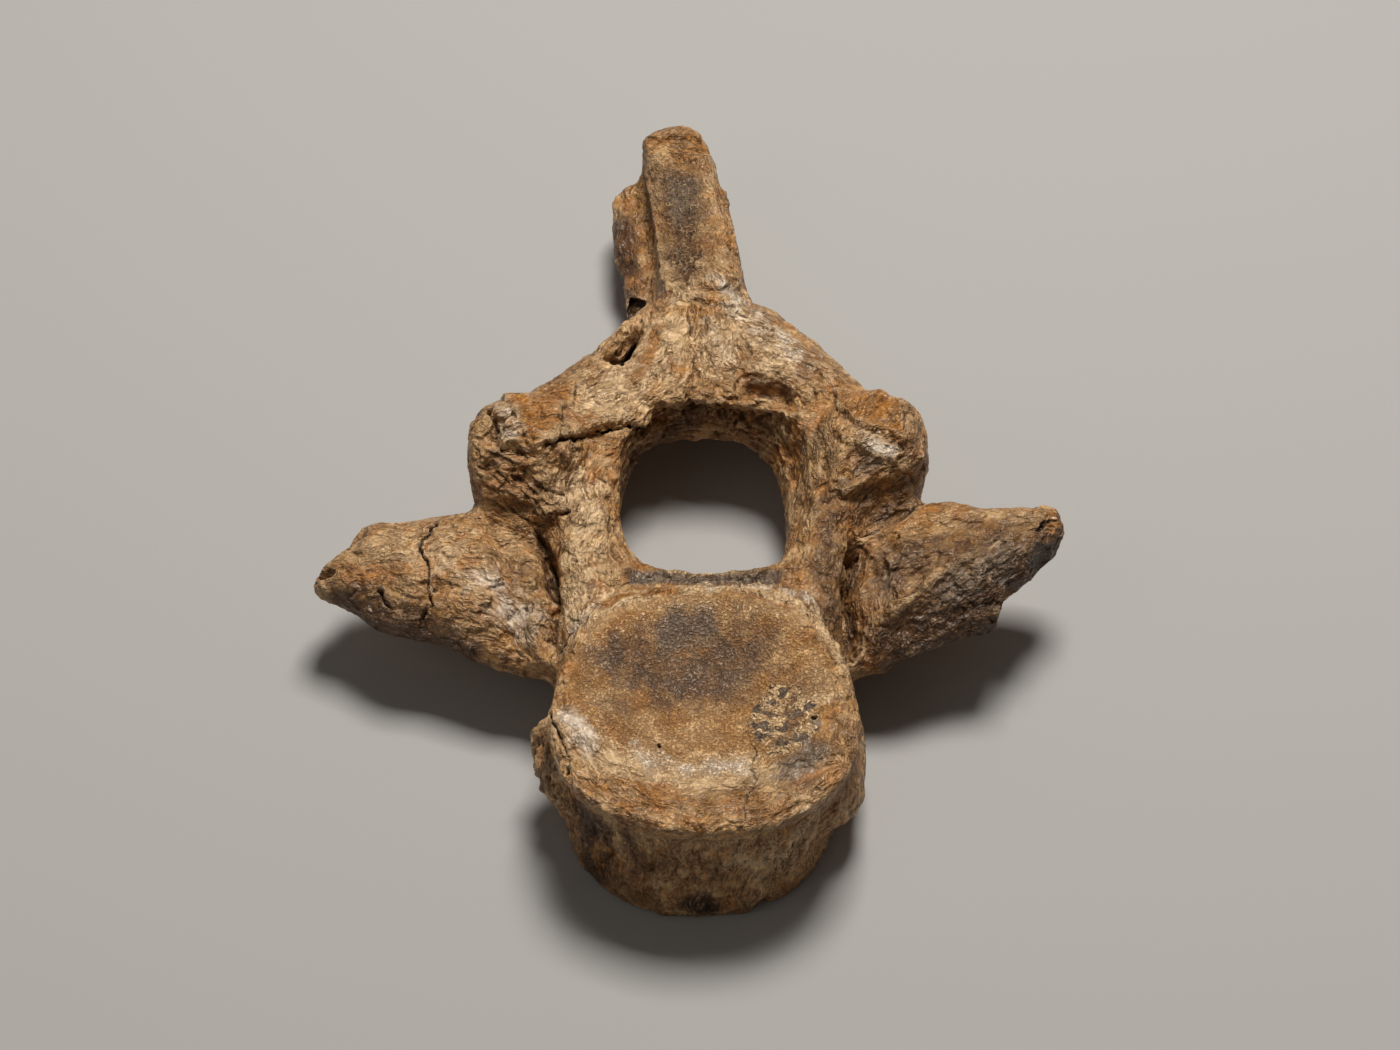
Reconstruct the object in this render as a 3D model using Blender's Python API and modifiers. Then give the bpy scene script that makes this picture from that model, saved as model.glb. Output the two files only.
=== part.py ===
# A fossil tail vertebra, 91 mm across, lying on its rear face.
# Row frame, in millimetres until the last step: X across the bone, +X on the viewer's
# right. Y from the belly side of the centrum (-Y) towards the tip of the spine (+Y).
# Z up, from the rear face on the table to the front face. The origin is the centre of
# the rear face of the centrum, on the table.

import math

import bmesh
import bpy
import numpy as np
from mathutils import Matrix, Vector, noise

MM = 0.001

# Driving dimensions, in millimetres
CENTRUM_LENGTH = 17.5      # rear face to front rim
FRONT_HALF_WIDTH = 18.0    # front face, across
FRONT_HALF_HEIGHT = 17.4   # front face, belly to canal
REAR_HALF_WIDTH = 16.2
REAR_HALF_HEIGHT = 16.8
WAIST_HALF_WIDTH = 15.4

VOXEL = 0.62               # grid that the masses are fused on
FINE_VOXEL = 0.5           # grid after the modelling strokes
RING_POINTS = 40
STEPS_BETWEEN = 5          # rings between two stations of a limb
TRIANGLES = 9400           # faces left for the whole bone

BONE_COLOUR = (0.36, 0.23, 0.12, 1.0)
BONE_ROUGHNESS = 0.72
SHARP_ANGLE = 50.0         # edges steeper than this, in degrees, stay sharp


# Helpers


def clear_scene():
    for obj in list(bpy.data.objects):
        bpy.data.objects.remove(obj, do_unlink=True)


def new_object(name, mesh, collection):
    obj = bpy.data.objects.new(name, mesh)
    collection.objects.link(obj)
    return obj


def spline(values, steps):
    """Catmull-Rom through the rows of values, with steps rows for each span."""
    rows = np.array(values, float)
    ends = np.vstack([2 * rows[0] - rows[1], rows, 2 * rows[-1] - rows[-2]])
    made = []
    for i in range(len(rows) - 1):
        a, b, c, d = ends[i : i + 4]
        for step in range(steps):
            t = step / steps
            made.append(
                b
                + 0.5 * t * (c - a)
                + t * t * (a - 2.5 * b + 2 * c - 0.5 * d)
                + t * t * t * (1.5 * (b - c) + 0.5 * (d - a))
            )
    made.append(rows[-1])
    return np.array(made)


def ring(centre, across, deep, half_across, half_deep, power):
    """One section of a limb: a superellipse in the plane of two unit vectors."""
    points = []
    for i in range(RING_POINTS):
        angle = 2 * math.pi * i / RING_POINTS
        c = math.cos(angle)
        s = math.sin(angle)
        u = math.copysign(abs(c) ** (2 / power), c) * half_across
        v = math.copysign(abs(s) ** (2 / power), s) * half_deep
        points.append(centre + u * across + v * deep)
    return points


def limb(name, stations, collection, power=2.3):
    """A closed loft through stations (x, y, z, half_across, half_deep, lean_deg).

    The sections stand square to the path. half_deep is measured along the third
    direction that is closest to Z, and lean turns the section about the path.
    """
    rows = spline(stations, STEPS_BETWEEN)
    path = rows[:, :3]
    tangents = np.gradient(path, axis=0)
    bm = bmesh.new()
    rings = []
    for row, tangent in zip(rows, tangents):
        along = Vector(tangent).normalized()
        up = Vector((0, 0, 1)) if abs(along.z) < 0.8 else Vector((0, 1, 0))
        across = along.cross(up).normalized()
        deep = across.cross(along).normalized()
        turn = Matrix.Rotation(math.radians(row[5]), 3, along)
        across = turn @ across
        deep = turn @ deep
        points = ring(Vector(row[:3]), across, deep, float(row[3]), float(row[4]), power)
        rings.append([bm.verts.new(point) for point in points])
    for first, second in zip(rings, rings[1:]):
        for i in range(RING_POINTS):
            j = (i + 1) % RING_POINTS
            bm.faces.new((first[i], first[j], second[j], second[i]))
    bm.faces.new(rings[0][::-1])
    bm.faces.new(rings[-1])
    bmesh.ops.recalc_face_normals(bm, faces=bm.faces)
    mesh = bpy.data.meshes.new(name)
    bm.to_mesh(mesh)
    bm.free()
    return new_object(name, mesh, collection)


def mirrored(stations):
    """The same stations on the other side of the bone."""
    return [(-x, y, z, across, deep, -lean) for x, y, z, across, deep, lean in stations]


# The masses of the bone


def centrum(collection):
    """The drum of the vertebra, from the rear face up to the front rim, the floor of
    the canal above it, and the worn lump on each side where a small rib sat."""
    length = CENTRUM_LENGTH
    limb("centrum", [
        (0.0, 0.0, -0.8, REAR_HALF_WIDTH - 0.3, REAR_HALF_HEIGHT - 0.2, 0),
        (0.0, 0.0, 2.0, REAR_HALF_WIDTH, REAR_HALF_HEIGHT, 0),
        (0.1, 0.2, 0.45 * length, WAIST_HALF_WIDTH, REAR_HALF_HEIGHT - 0.9, 0),
        (0.3, 0.5, 0.75 * length, FRONT_HALF_WIDTH - 0.9, FRONT_HALF_HEIGHT - 0.6, 0),
        (0.4, 0.7, 0.92 * length, FRONT_HALF_WIDTH, FRONT_HALF_HEIGHT, 0),
        (0.4, 0.7, length + 0.3, FRONT_HALF_WIDTH - 0.6, FRONT_HALF_HEIGHT - 0.4, 0),
    ], collection, power=2.25)
    limb("canal_floor", [
        (-12.4, 31.0, 9.6, 4.6, 6.4, 0),
        (-12.0, 25.0, 9.0, 5.4, 7.0, 0),
        (-8.6, 19.4, 8.8, 7.4, 7.7, 0),
        (0.0, 17.4, 8.8, 8.0, 8.1, 0),
        (8.6, 19.4, 8.8, 7.4, 7.7, 0),
        (12.4, 25.0, 9.0, 5.4, 7.0, 0),
        (13.4, 31.0, 9.6, 4.6, 6.4, 0),
    ], collection, power=3.0)
    limb("rib_lump_left", [
        (-12.0, -1.0, 9.0, 7.5, 5.5, 0),
        (-16.2, -1.6, 9.8, 6.2, 4.6, 0),
        (-18.3, -2.2, 10.4, 4.4, 3.2, 0),
    ], collection, power=2.8)
    limb("rib_lump_right", [
        (11.0, -0.5, 8.5, 9.5, 7.5, 0),
        (16.0, -0.8, 9.2, 8.0, 6.0, 0),
        (18.9, -1.0, 9.8, 5.6, 4.4, 0),
    ], collection, power=2.4)


def arch(collection):
    """The ring over the canal: two pillars, and two slopes that meet at the spine."""
    limb("pedicle_left", [
        (-12.0, 8.0, 8.6, 4.6, 7.0, 0),
        (-13.0, 18.0, 9.6, 4.6, 7.4, 0),
        (-13.6, 26.0, 10.0, 4.4, 7.0, 0),
        (-13.8, 33.0, 10.4, 4.6, 6.6, 0),
        (-13.2, 40.0, 11.0, 5.4, 6.0, 0),
        (-11.5, 47.0, 11.8, 6.0, 5.2, 0),
    ], collection, power=2.6)
    limb("pedicle_right", [
        (12.4, 8.0, 8.6, 4.6, 7.0, 0),
        (13.6, 18.0, 9.6, 4.4, 7.4, 0),
        (14.6, 26.0, 10.0, 4.4, 7.0, 0),
        (15.0, 33.0, 10.4, 4.8, 6.6, 0),
        (14.6, 40.0, 11.0, 5.6, 6.0, 0),
        (12.5, 47.0, 11.8, 6.0, 5.2, 0),
    ], collection, power=2.6)
    limb("lamina_left", [
        (-23.0, 45.0, 13.2, 4.6, 4.6, 0),
        (-15.6, 49.8, 12.6, 5.6, 4.5, 0),
        (-8.4, 55.2, 12.2, 7.0, 4.5, 0),
        (-2.0, 62.0, 11.6, 8.0, 5.0, 0),
    ], collection, power=2.6)
    limb("lamina_right", [
        (23.5, 44.0, 12.8, 4.6, 4.2, 0),
        (15.5, 50.0, 12.4, 6.4, 4.3, 0),
        (8.6, 56.4, 12.2, 8.2, 4.5, 0),
        (3.0, 62.0, 11.6, 8.2, 5.0, 0),
    ], collection, power=2.6)
    limb("roof", [
        (-13.0, 46.0, 12.0, 4.0, 4.0, 0),
        (-7.0, 50.5, 11.8, 4.4, 4.2, 0),
        (0.0, 53.5, 11.8, 4.8, 4.4, 0),
        (7.0, 50.5, 11.8, 4.4, 4.2, 0),
        (13.0, 46.0, 12.0, 4.0, 4.0, 0),
    ], collection, power=3.0)
    limb("rear_roof", [
        (-14.0, 53.4, 7.6, 3.4, 4.2, 0),
        (-7.6, 58.0, 7.8, 4.2, 4.8, 0),
        (0.0, 61.4, 8.0, 4.6, 4.8, 0),
        (7.6, 58.0, 7.8, 4.2, 4.8, 0),
        (14.0, 53.4, 7.6, 3.4, 4.2, 0),
    ], collection, power=2.4)
    limb("knob_foot_left", [
        (-14.0, 40.0, 12.0, 6.0, 4.8, 0),
        (-18.0, 39.0, 12.8, 6.4, 5.4, 0),
        (-22.0, 38.4, 12.4, 6.0, 5.2, 0),
    ], collection)
    limb("knob_foot_right", [
        (14.8, 34.5, 12.0, 5.4, 4.9, 0),
        (18.0, 36.0, 13.2, 5.6, 5.2, 0),
        (22.0, 39.0, 13.6, 5.6, 5.2, 0),
    ], collection)


def zygapophyses(collection):
    """The joint knobs: two in front, which stand up, and two behind, which the bone
    rests on together with the rear face of the centrum."""
    limb("front_knob_left", [
        (-17.5, 39.0, 5.0, 5.0, 5.0, 0),
        (-19.6, 39.6, 9.0, 7.0, 6.6, 0),
        (-21.0, 40.4, 14.0, 7.4, 7.4, 0),
        (-21.4, 41.6, 18.5, 6.8, 6.6, 0),
        (-21.4, 42.2, 21.3, 4.8, 4.6, 0),
    ], collection, power=2.6)
    limb("front_knob_right", [
        (17.5, 40.0, 5.0, 5.0, 5.0, 0),
        (19.6, 40.6, 9.0, 6.8, 6.2, 0),
        (20.8, 41.4, 14.0, 7.2, 6.8, 0),
        (21.2, 42.2, 18.5, 6.4, 6.0, 0),
        (21.0, 42.6, 21.3, 4.6, 4.2, 0),
    ], collection, power=2.6)
    rear = [
        (-11.0, 56.4, 13.0, 4.6, 7.0, 52),
        (-12.2, 55.2, 9.0, 4.4, 7.2, 52),
        (-13.8, 53.6, 4.5, 3.9, 6.8, 50),
        (-15.0, 52.2, 0.8, 3.3, 5.6, 48),
        (-15.4, 51.8, -0.8, 3.0, 5.0, 48),
    ]
    limb("rear_knob_left", rear, collection)
    limb("rear_knob_right", mirrored(rear), collection)


def wings(collection):
    """The two transverse processes, each broken off at its end."""
    limb("wing_left", [
        (-12.0, 21.0, 8.4, 9.6, 5.4, 0),
        (-20.0, 23.0, 9.8, 11.0, 5.0, 0),
        (-28.0, 24.9, 11.0, 10.0, 4.8, 0),
        (-34.0, 25.0, 11.2, 8.6, 4.4, 0),
        (-39.6, 26.0, 11.2, 7.0, 4.0, 0),
        (-43.2, 25.8, 11.0, 4.8, 3.2, 0),
        (-46.0, 25.0, 10.6, 2.4, 2.0, 0),
    ], collection, power=2.2)
    limb("wing_right", [
        (12.0, 22.0, 8.4, 10.0, 5.4, 0),
        (20.0, 24.0, 9.8, 11.6, 5.2, 0),
        (28.5, 25.7, 11.6, 10.2, 4.8, 0),
        (35.0, 26.6, 12.6, 9.0, 4.4, 0),
        (39.6, 29.2, 13.6, 5.4, 3.5, 0),
        (43.4, 31.2, 14.6, 2.2, 2.0, 0),
    ], collection, power=2.2)


def spine(collection):
    """The neural spine: a rib with a rough front, on a wider plate behind it."""
    limb("spine_rib", [
        (0.6, 55.0, 11.6, 8.0, 5.2, 0),
        (0.6, 62.0, 11.6, 7.6, 6.0, 0),
        (0.4, 70.0, 11.0, 6.0, 6.2, 0),
        (-0.4, 79.0, 10.6, 5.2, 6.2, 0),
        (-1.6, 87.0, 10.2, 5.0, 6.2, 0),
        (-2.6, 93.0, 10.0, 5.0, 6.0, 0),
        (-3.0, 97.2, 9.8, 4.6, 5.2, 0),
    ], collection, power=2.5)
    limb("spine_plate", [
        (0.4, 60.0, 8.6, 10.4, 3.8, 0),
        (-0.8, 68.0, 7.8, 8.8, 3.0, 0),
        (-2.4, 78.0, 7.2, 7.8, 2.7, 0),
        (-3.4, 84.0, 7.0, 8.4, 2.6, 0),
        (-4.0, 90.0, 7.0, 8.0, 2.6, 0),
        (-4.6, 95.4, 6.8, 6.2, 2.4, 0),
    ], collection)
    limb("spine_tip", [
        (-7.2, 94.6, 12.6, 2.8, 2.8, 0),
        (-3.6, 95.8, 13.0, 3.6, 3.4, 0),
        (0.0, 96.2, 12.8, 3.0, 3.0, 0),
    ], collection)


# The canal


def canal_cutter(collection):
    """The bore of the canal, wider in front than behind."""
    cutter = limb("canal", [
        (0.2, 35.8, -6.0, 10.1, 14.2, 0),
        (0.2, 35.8, 3.0, 10.1, 14.2, 0),
        (0.3, 36.0, 9.0, 10.3, 14.0, 0),
        (0.7, 36.3, 13.0, 10.8, 13.9, 0),
        (1.8, 36.4, 17.5, 11.8, 13.9, 0),
        (2.2, 36.4, 26.0, 12.8, 13.9, 0),
    ], collection, power=2.6)
    cutter.hide_render = True
    cutter.display_type = "WIRE"
    return cutter


# Modelling strokes


class Clay:
    """The points of the bone while strokes move them, in millimetres."""

    def __init__(self, obj):
        self.mesh = obj.data
        count = len(self.mesh.vertices)
        self.points = np.empty(count * 3)
        self.mesh.vertices.foreach_get("co", self.points)
        self.points = self.points.reshape(-1, 3)
        self.normals = np.empty(count * 3)
        self.mesh.vertices.foreach_get("normal", self.normals)
        self.normals = self.normals.reshape(-1, 3)

    def distance(self, path):
        """How far each point lies from a path of one or more places."""
        path = np.array(path, float)
        if len(path) == 1:
            return np.linalg.norm(self.points - path[0], axis=1)
        nearest = np.full(len(self.points), np.inf)
        for start, end in zip(path, path[1:]):
            span = end - start
            t = np.clip((self.points - start) @ span / (span @ span), 0, 1)
            gap = self.points - start - t[:, None] * span
            nearest = np.minimum(nearest, np.linalg.norm(gap, axis=1))
        return nearest

    def weight(self, path, radius):
        """1 on the path, falling smoothly to 0 at the radius."""
        return np.clip(1 - (self.distance(path) / radius) ** 2, 0, 1) ** 2

    def carve(self, path, radius, depth, towards=None):
        """Presses a groove or a pit; a negative depth raises a ridge or a lump."""
        weight = self.weight(path, radius)[:, None]
        if towards is None:
            self.points -= weight * depth * self.normals
        else:
            unit = np.array(towards, float)
            self.points += weight * depth * unit / np.linalg.norm(unit)

    def flatten(self, centre, normal, radius, strength=1.0):
        """Planes down what stands above a plane through the centre."""
        unit = np.array(normal, float)
        unit /= np.linalg.norm(unit)
        above = np.maximum((self.points - np.array(centre)) @ unit, 0)
        weight = self.weight([centre], radius) * strength
        self.points -= (weight * above)[:, None] * unit

    def roughen(self, path, radius, grain, height, seed):
        """Lumps of about the given grain size."""
        weight = self.weight(path, radius)
        shift = Vector((seed * 7.3, seed * 3.1, seed * 5.7))
        for i in np.nonzero(weight > 0.01)[0]:
            at = Vector(self.points[i]) / grain + shift
            lift = noise.noise(at) + 0.5 * noise.noise(at * 2.1)
            self.points[i] += self.normals[i] * lift * height * weight[i]

    def finish(self):
        self.mesh.vertices.foreach_set("co", self.points.ravel())
        self.mesh.update()


def model_centrum(clay):
    """The hollow of the front face, its lip, and the wear on the drum."""
    top = CENTRUM_LENGTH
    clay.carve([(0.4, -3.0, top), (0.4, 3.5, top)], 14.6, 2.4, towards=(0, 0, -1))
    clay.carve([(-10, 20.2, 17), (0.5, 20.6, 17), (11, 20.2, 17)], 1.6, 0.9, towards=(0, 0, -1))
    lip = [
        (0.4 + 17.6 * math.cos(a), 0.6 + 17.0 * math.sin(a), top - 1.3)
        for a in np.radians(range(185, 356, 10))
    ]
    clay.carve(lip, 2.4, -0.6)
    clay.carve([(-18.6, -4.8, 10.6), (-17.4, -7.8, 9.0)], 1.9, 1.8)
    clay.carve([(-18.4, 3.0, 13.2), (-18.6, -1.5, 14.2), (-17.6, -5.5, 14.4)], 1.5, 1.2)
    clay.carve([(7.8, -15.4, 0.6)], 1.8, 1.2)
    clay.carve([(-4.5, -16.8, 2), (-4.0, -16.4, 13)], 3.2, -0.5)
    clay.carve([(6.5, -15.4, 2), (6.5, -15.4, 12)], 3.0, -0.4)
    clay.carve([(1.2, -16.4, 3), (1.0, -16.2, 13)], 2.4, 0.5)
    clay.carve([(-10.5, -12.6, 4), (-11.0, -12.0, 12)], 2.6, 0.5)
    clay.roughen([(8.5, -3.5, top)], 6.0, 2.6, 0.3, 1)
    clay.roughen([(-18.5, -1.0, 10.0)], 5.5, 2.2, 1.0, 2)
    clay.roughen([(18.5, -1.0, 10.0)], 5.5, 2.8, 0.5, 3)
    clay.roughen([(-10.0, -13.0, 7.0), (0.0, -16.0, 7.0), (10.0, -13.0, 7.0)], 7.0, 3.6, 0.5, 4)


def model_grooves(clay):
    """The valleys that part the pillars from the wings, with a crease in each."""
    left = [(-20.0, 29.0, 14.5), (-18.6, 24.5, 14.5), (-18.2, 18.5, 14), (-17.6, 12.5, 12)]
    right = [(19.2, 27.5, 15), (18.4, 21.0, 15), (18.4, 15.0, 13), (18.2, 11.5, 12)]
    clay.carve([(x - 2.0, y, z) for x, y, z in left], 5.0, 1.7, towards=(0, 0, -1))
    clay.carve(left, 1.9, 2.8, towards=(0.3, 0, -1))
    clay.carve([(x + 1.6, y, z) for x, y, z in right], 4.0, 1.2, towards=(0, 0, -1))
    clay.carve(right, 1.7, 4.2, towards=(-0.35, 0, -1))
    clay.carve([(-26.0, 32.6, 14), (-21.0, 31.0, 14)], 3.4, 1.2)


def model_knobs(clay):
    """The worn facets, hollows and ledges of the two front knobs."""
    clay.carve([(-25.2, 39.6, 21.5), (-23.8, 42.0, 21.5)], 1.9, 2.2, towards=(0.2, 0, -1))
    clay.carve([(-21.6, 40.6, 21.5), (-21.2, 42.6, 21.8)], 2.2, -0.9)
    clay.carve([(-26.8, 41.6, 19.5), (-26.0, 38.0, 19.0)], 2.0, -0.6)
    clay.carve([(-17.2, 38.6, 20.6), (-16.6, 43.5, 19.5)], 1.8, -0.7)
    for x, y, z in ((-22.6, 35.8, 19.4), (-22.0, 34.8, 17.2), (-21.4, 34.0, 14.8)):
        clay.carve([(x - 2.8, y + 0.4, z + 1.4), (x + 2.8, y, z - 1.0)], 1.2, 1.3)
    clay.roughen([(-22.5, 36.5, 18.5), (-18.0, 36.0, 16.0)], 7.0, 2.6, 1.0, 5)
    clay.flatten((21.5, 33.4, 15.0), (0.30, -0.86, 0.30), 7.0)
    clay.carve([(17.6, 33.8, 17.6), (20.6, 35.2, 19.0), (26.0, 38.4, 18.4)], 1.8, -0.7)
    clay.flatten((20.0, 37.6, 19.8), (-0.2, -0.45, 0.87), 5.0, 0.8)
    clay.carve([(24.0, 42.0, 21.6), (21.0, 45.0, 20.8)], 2.6, -0.6)
    clay.roughen([(21.5, 40.0, 20.0)], 7.0, 3.0, 0.8, 6)


def model_arch(clay):
    """The split on the left slope, its loose edge, and the holes and hollows."""
    split = [(-17.4, 41.8, 17.6), (-12.3, 43.8, 17), (-7.8, 46.6, 16.6)]
    edge = [(-17.0, 43.8, 17.6), (-12.2, 45.6, 17), (-8.4, 48.2, 16.8), (-3.4, 51.6, 16.4)]
    clay.carve(edge, 2.2, -0.7, towards=(0, 0, -1))
    clay.carve(split, 1.2, 1.8, towards=(0, 0.3, -1))
    clay.carve([(-11.0, 56.6, 16.6), (-9.8, 57.2, 16.6), (-8.2, 61.0, 16.2)],
               1.4, 5.0, towards=(0, 0, -1))
    clay.carve([(-9.6, 66.6, 13.5), (-7.6, 67.4, 14.2)], 1.5, 3.6, towards=(0.3, 0, -1))
    clay.carve([(6.6, 51.8, 16.5), (9.4, 51.4, 16.5), (12.8, 49.4, 16.5)],
               1.8, 1.5, towards=(0, 0, -1))
    clay.flatten((13.6, 38.0, 15.6), (-0.72, -0.1, 0.68), 7.5, 0.8)
    clay.carve([(-5.6, 66.0, 15.8), (-4.6, 59.0, 17.2), (-1.6, 53.6, 16.4)], 2.8, -0.9)
    clay.carve([(3.5, 66.0, 16.6), (9.0, 60.5, 16.5), (15.5, 54.0, 16.2)], 2.4, -0.6)
    clay.carve([(-0.8, 64.0, 17.2), (-0.6, 56.0, 16.8), (-0.8, 51.6, 16.0)], 1.8, 0.9)
    clay.carve([(-14.6, 49.5, 16.6), (-12.6, 52.6, 16.4)], 2.4, 0.6)
    clay.roughen([(-9.0, 50.0, 16.0), (0.0, 60.0, 16.0), (11.0, 54.0, 16.0)], 9.0, 3.2, 0.8, 7)
    clay.roughen([(-14.0, 30.0, 16.0)], 8.0, 4.0, 0.5, 8)
    clay.roughen([(15.0, 30.0, 16.0)], 8.0, 3.6, 0.6, 9)


def model_spine(clay):
    """The rough seat on the rib, the knob at the tip, the notch and the ledge."""
    clay.carve([(-2.6, 87.0, 16.4), (-1.4, 77.0, 16.8)], 3.6, 0.9)
    clay.carve([(-6.6, 90.0, 14.0), (-2.2, 91.6, 16.2), (2.2, 90.0, 15.2)], 1.4, 0.9)
    clay.carve([(-8.4, 93.6, 11.0), (-8.0, 88.0, 11.0), (-7.0, 78.0, 11.0)], 1.8, 1.8)
    clay.carve([(-0.5, 67.6, 17.4), (3.0, 66.6, 17.2), (5.8, 68.4, 15.6), (6.4, 72.0, 13.8)],
               1.3, 1.0)
    clay.carve([(3.4, 70.4, 16.6), (2.4, 74.0, 16.8)], 2.4, -0.6)
    clay.carve([(4.0, 90.0, 10.0), (5.6, 80.0, 9.6)], 2.0, -0.9)
    clay.carve([(-11.0, 92.0, 8.0), (-10.8, 84.0, 8.0)], 1.8, -0.7)
    clay.carve([(-9.6, 79.0, 8.2)], 1.8, 0.7)
    clay.roughen([(-3.5, 95.0, 14.5)], 5.5, 2.2, 1.0, 10)
    clay.roughen([(-2.4, 86.0, 16.0), (-1.4, 74.0, 16.0)], 5.0, 2.2, 1.1, 11)
    clay.roughen([(-10.0, 84.0, 8.0)], 6.0, 3.0, 0.6, 12)


def model_wings(clay):
    """The broken ends, the cross crack, and the flats and ridges of the wings."""
    clay.carve([(-32.8, 29.5, 15.0), (-32.6, 25.0, 15.4), (-31.8, 20.5, 15.2), (-32.6, 16.0, 12.4)],
               1.0, 1.2)
    clay.carve([(-41.4, 29.8, 14.0), (-42.4, 28.0, 13.8)], 1.4, 1.4)
    clay.carve([(-46.0, 24.0, 10.6), (-45.0, 22.8, 10.8)], 1.4, -1.0)
    clay.carve([(-44.8, 24.8, 12.4), (-43.4, 23.4, 12.6)], 1.2, 1.2)
    for x, y in ((-40.0, 21.4), (-33.0, 18.4), (-26.0, 16.6), (-21.0, 14.4)):
        clay.flatten((x, y, 13.2), (-0.10, -0.80, 0.58), 6.0, 0.8)
    clay.carve([(-26.0, 22.0, 15.4), (-31.0, 23.0, 15.6)], 5.0, -0.5)
    clay.flatten((40.4, 25.4, 13.2), (0.72, -0.62, 0.30), 8.0)
    clay.carve([(41.0, 31.4, 16.4), (43.4, 31.8, 15.4)], 1.8, -0.7)
    clay.carve([(21.5, 17.0, 14.0), (30.0, 21.5, 16.2), (39.0, 27.0, 16.8)], 2.2, -0.8)
    clay.carve([(24.5, 15.5, 12.8), (31.0, 18.0, 14.0)], 2.6, 0.8)
    clay.carve([(24.0, 27.0, 15.6)], 1.6, -0.8)
    clay.carve([(28.0, 29.0, 15.6), (36.0, 29.0, 16.4)], 2.6, 0.6)
    clay.roughen([(-44.0, 26.0, 12.0)], 5.0, 2.0, 1.0, 13)
    clay.roughen([(40.0, 28.0, 14.0)], 6.0, 2.4, 1.0, 14)
    clay.roughen([(-20.0, 22.0, 12.0), (-40.0, 25.0, 12.0)], 12.0, 5.0, 0.7, 15)
    clay.roughen([(20.0, 23.0, 12.0), (38.0, 27.0, 12.0)], 12.0, 4.4, 0.8, 16)


# Fusing, boring and finishing


def fused(name, collection, target):
    """All the masses as one closed surface, fused on a voxel grid."""
    joined = bmesh.new()
    for obj in collection.objects:
        joined.from_mesh(obj.data)
    mesh = bpy.data.meshes.new(name)
    joined.to_mesh(mesh)
    joined.free()
    obj = new_object(name, mesh, target)
    voxels(obj, VOXEL)
    soften(obj, 10)
    applied(obj)
    return obj


def voxels(obj, size):
    remesh = obj.modifiers.new("fuse", "REMESH")
    remesh.mode = "VOXEL"
    remesh.voxel_size = size


def soften(obj, times):
    smooth = obj.modifiers.new("soften", "SMOOTH")
    smooth.factor = 0.5
    smooth.iterations = times


def bored(obj, cutter):
    """Cuts the canal through the object and rounds the edges of the cut."""
    cut = obj.modifiers.new("canal", "BOOLEAN")
    cut.operation = "DIFFERENCE"
    cut.object = cutter
    voxels(obj, VOXEL)
    soften(obj, 3)
    applied(obj)


def applied(obj):
    """Puts the result of the modifiers in the object's own mesh."""
    graph = bpy.context.evaluated_depsgraph_get()
    made = bpy.data.meshes.new_from_object(obj.evaluated_get(graph))
    obj.modifiers.clear()
    obj.data = made


def modelled(obj):
    """Works all the strokes into the object, then puts it on an even grid again."""
    clay = Clay(obj)
    model_centrum(clay)
    model_grooves(clay)
    model_knobs(clay)
    model_arch(clay)
    model_spine(clay)
    model_wings(clay)
    clay.finish()
    voxels(obj, FINE_VOXEL)
    soften(obj, 1)
    applied(obj)


def stood_on_table(obj):
    """Thins the faces, then cuts the base off flat at Z = 0, where the bone rests."""
    thin = obj.modifiers.new("thin", "DECIMATE")
    thin.ratio = TRIANGLES / (2 * len(obj.data.polygons))
    applied(obj)
    bm = bmesh.new()
    bm.from_mesh(obj.data)
    whole = bm.verts[:] + bm.edges[:] + bm.faces[:]
    cut = bmesh.ops.bisect_plane(
        bm, geom=whole, dist=1e-5, plane_co=(0, 0, 0), plane_no=(0, 0, -1), clear_outer=True
    )
    rims = [edge for edge in cut["geom_cut"] if isinstance(edge, bmesh.types.BMEdge)]
    bmesh.ops.contextual_create(bm, geom=rims)
    bmesh.ops.triangulate(bm, faces=bm.faces)
    bm.to_mesh(obj.data)
    bm.free()


def bone_material():
    """Tan, dry, mineralised bone."""
    material = bpy.data.materials.new("fossil bone")
    material.use_nodes = True
    shader = material.node_tree.nodes["Principled BSDF"]
    shader.inputs["Base Color"].default_value = BONE_COLOUR
    shader.inputs["Roughness"].default_value = BONE_ROUGHNESS
    shader.inputs["Metallic"].default_value = 0.0
    return material


def collection_named(name):
    made = bpy.data.collections.new(name)
    bpy.context.scene.collection.children.link(made)
    return made


def main():
    clear_scene()
    masses = collection_named("masses")
    cutters = collection_named("cutters")
    bone = collection_named("fossil vertebra")
    centrum(masses)
    arch(masses)
    zygapophyses(masses)
    wings(masses)
    spine(masses)
    cutter = canal_cutter(cutters)
    obj = fused("vertebra", masses, bone)
    bored(obj, cutter)
    modelled(obj)
    stood_on_table(obj)
    for helper in list(masses.objects) + list(cutters.objects):
        bpy.data.objects.remove(helper)
    obj.data.transform(Matrix.Scale(MM, 4))
    obj.data.materials.append(bone_material())
    obj.data.shade_smooth()
    obj.data.set_sharp_from_angle(angle=math.radians(SHARP_ANGLE))


main()
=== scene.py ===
# The looks of a fossil tail vertebra: its worked surface and its material, on a pale floor.
# Places and sizes on the bone are in millimetres, in the frame of the solid (+X across the bone,
# +Y towards the tip of the spine, +Z up). The floor and the lights are placed in metres.

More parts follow.
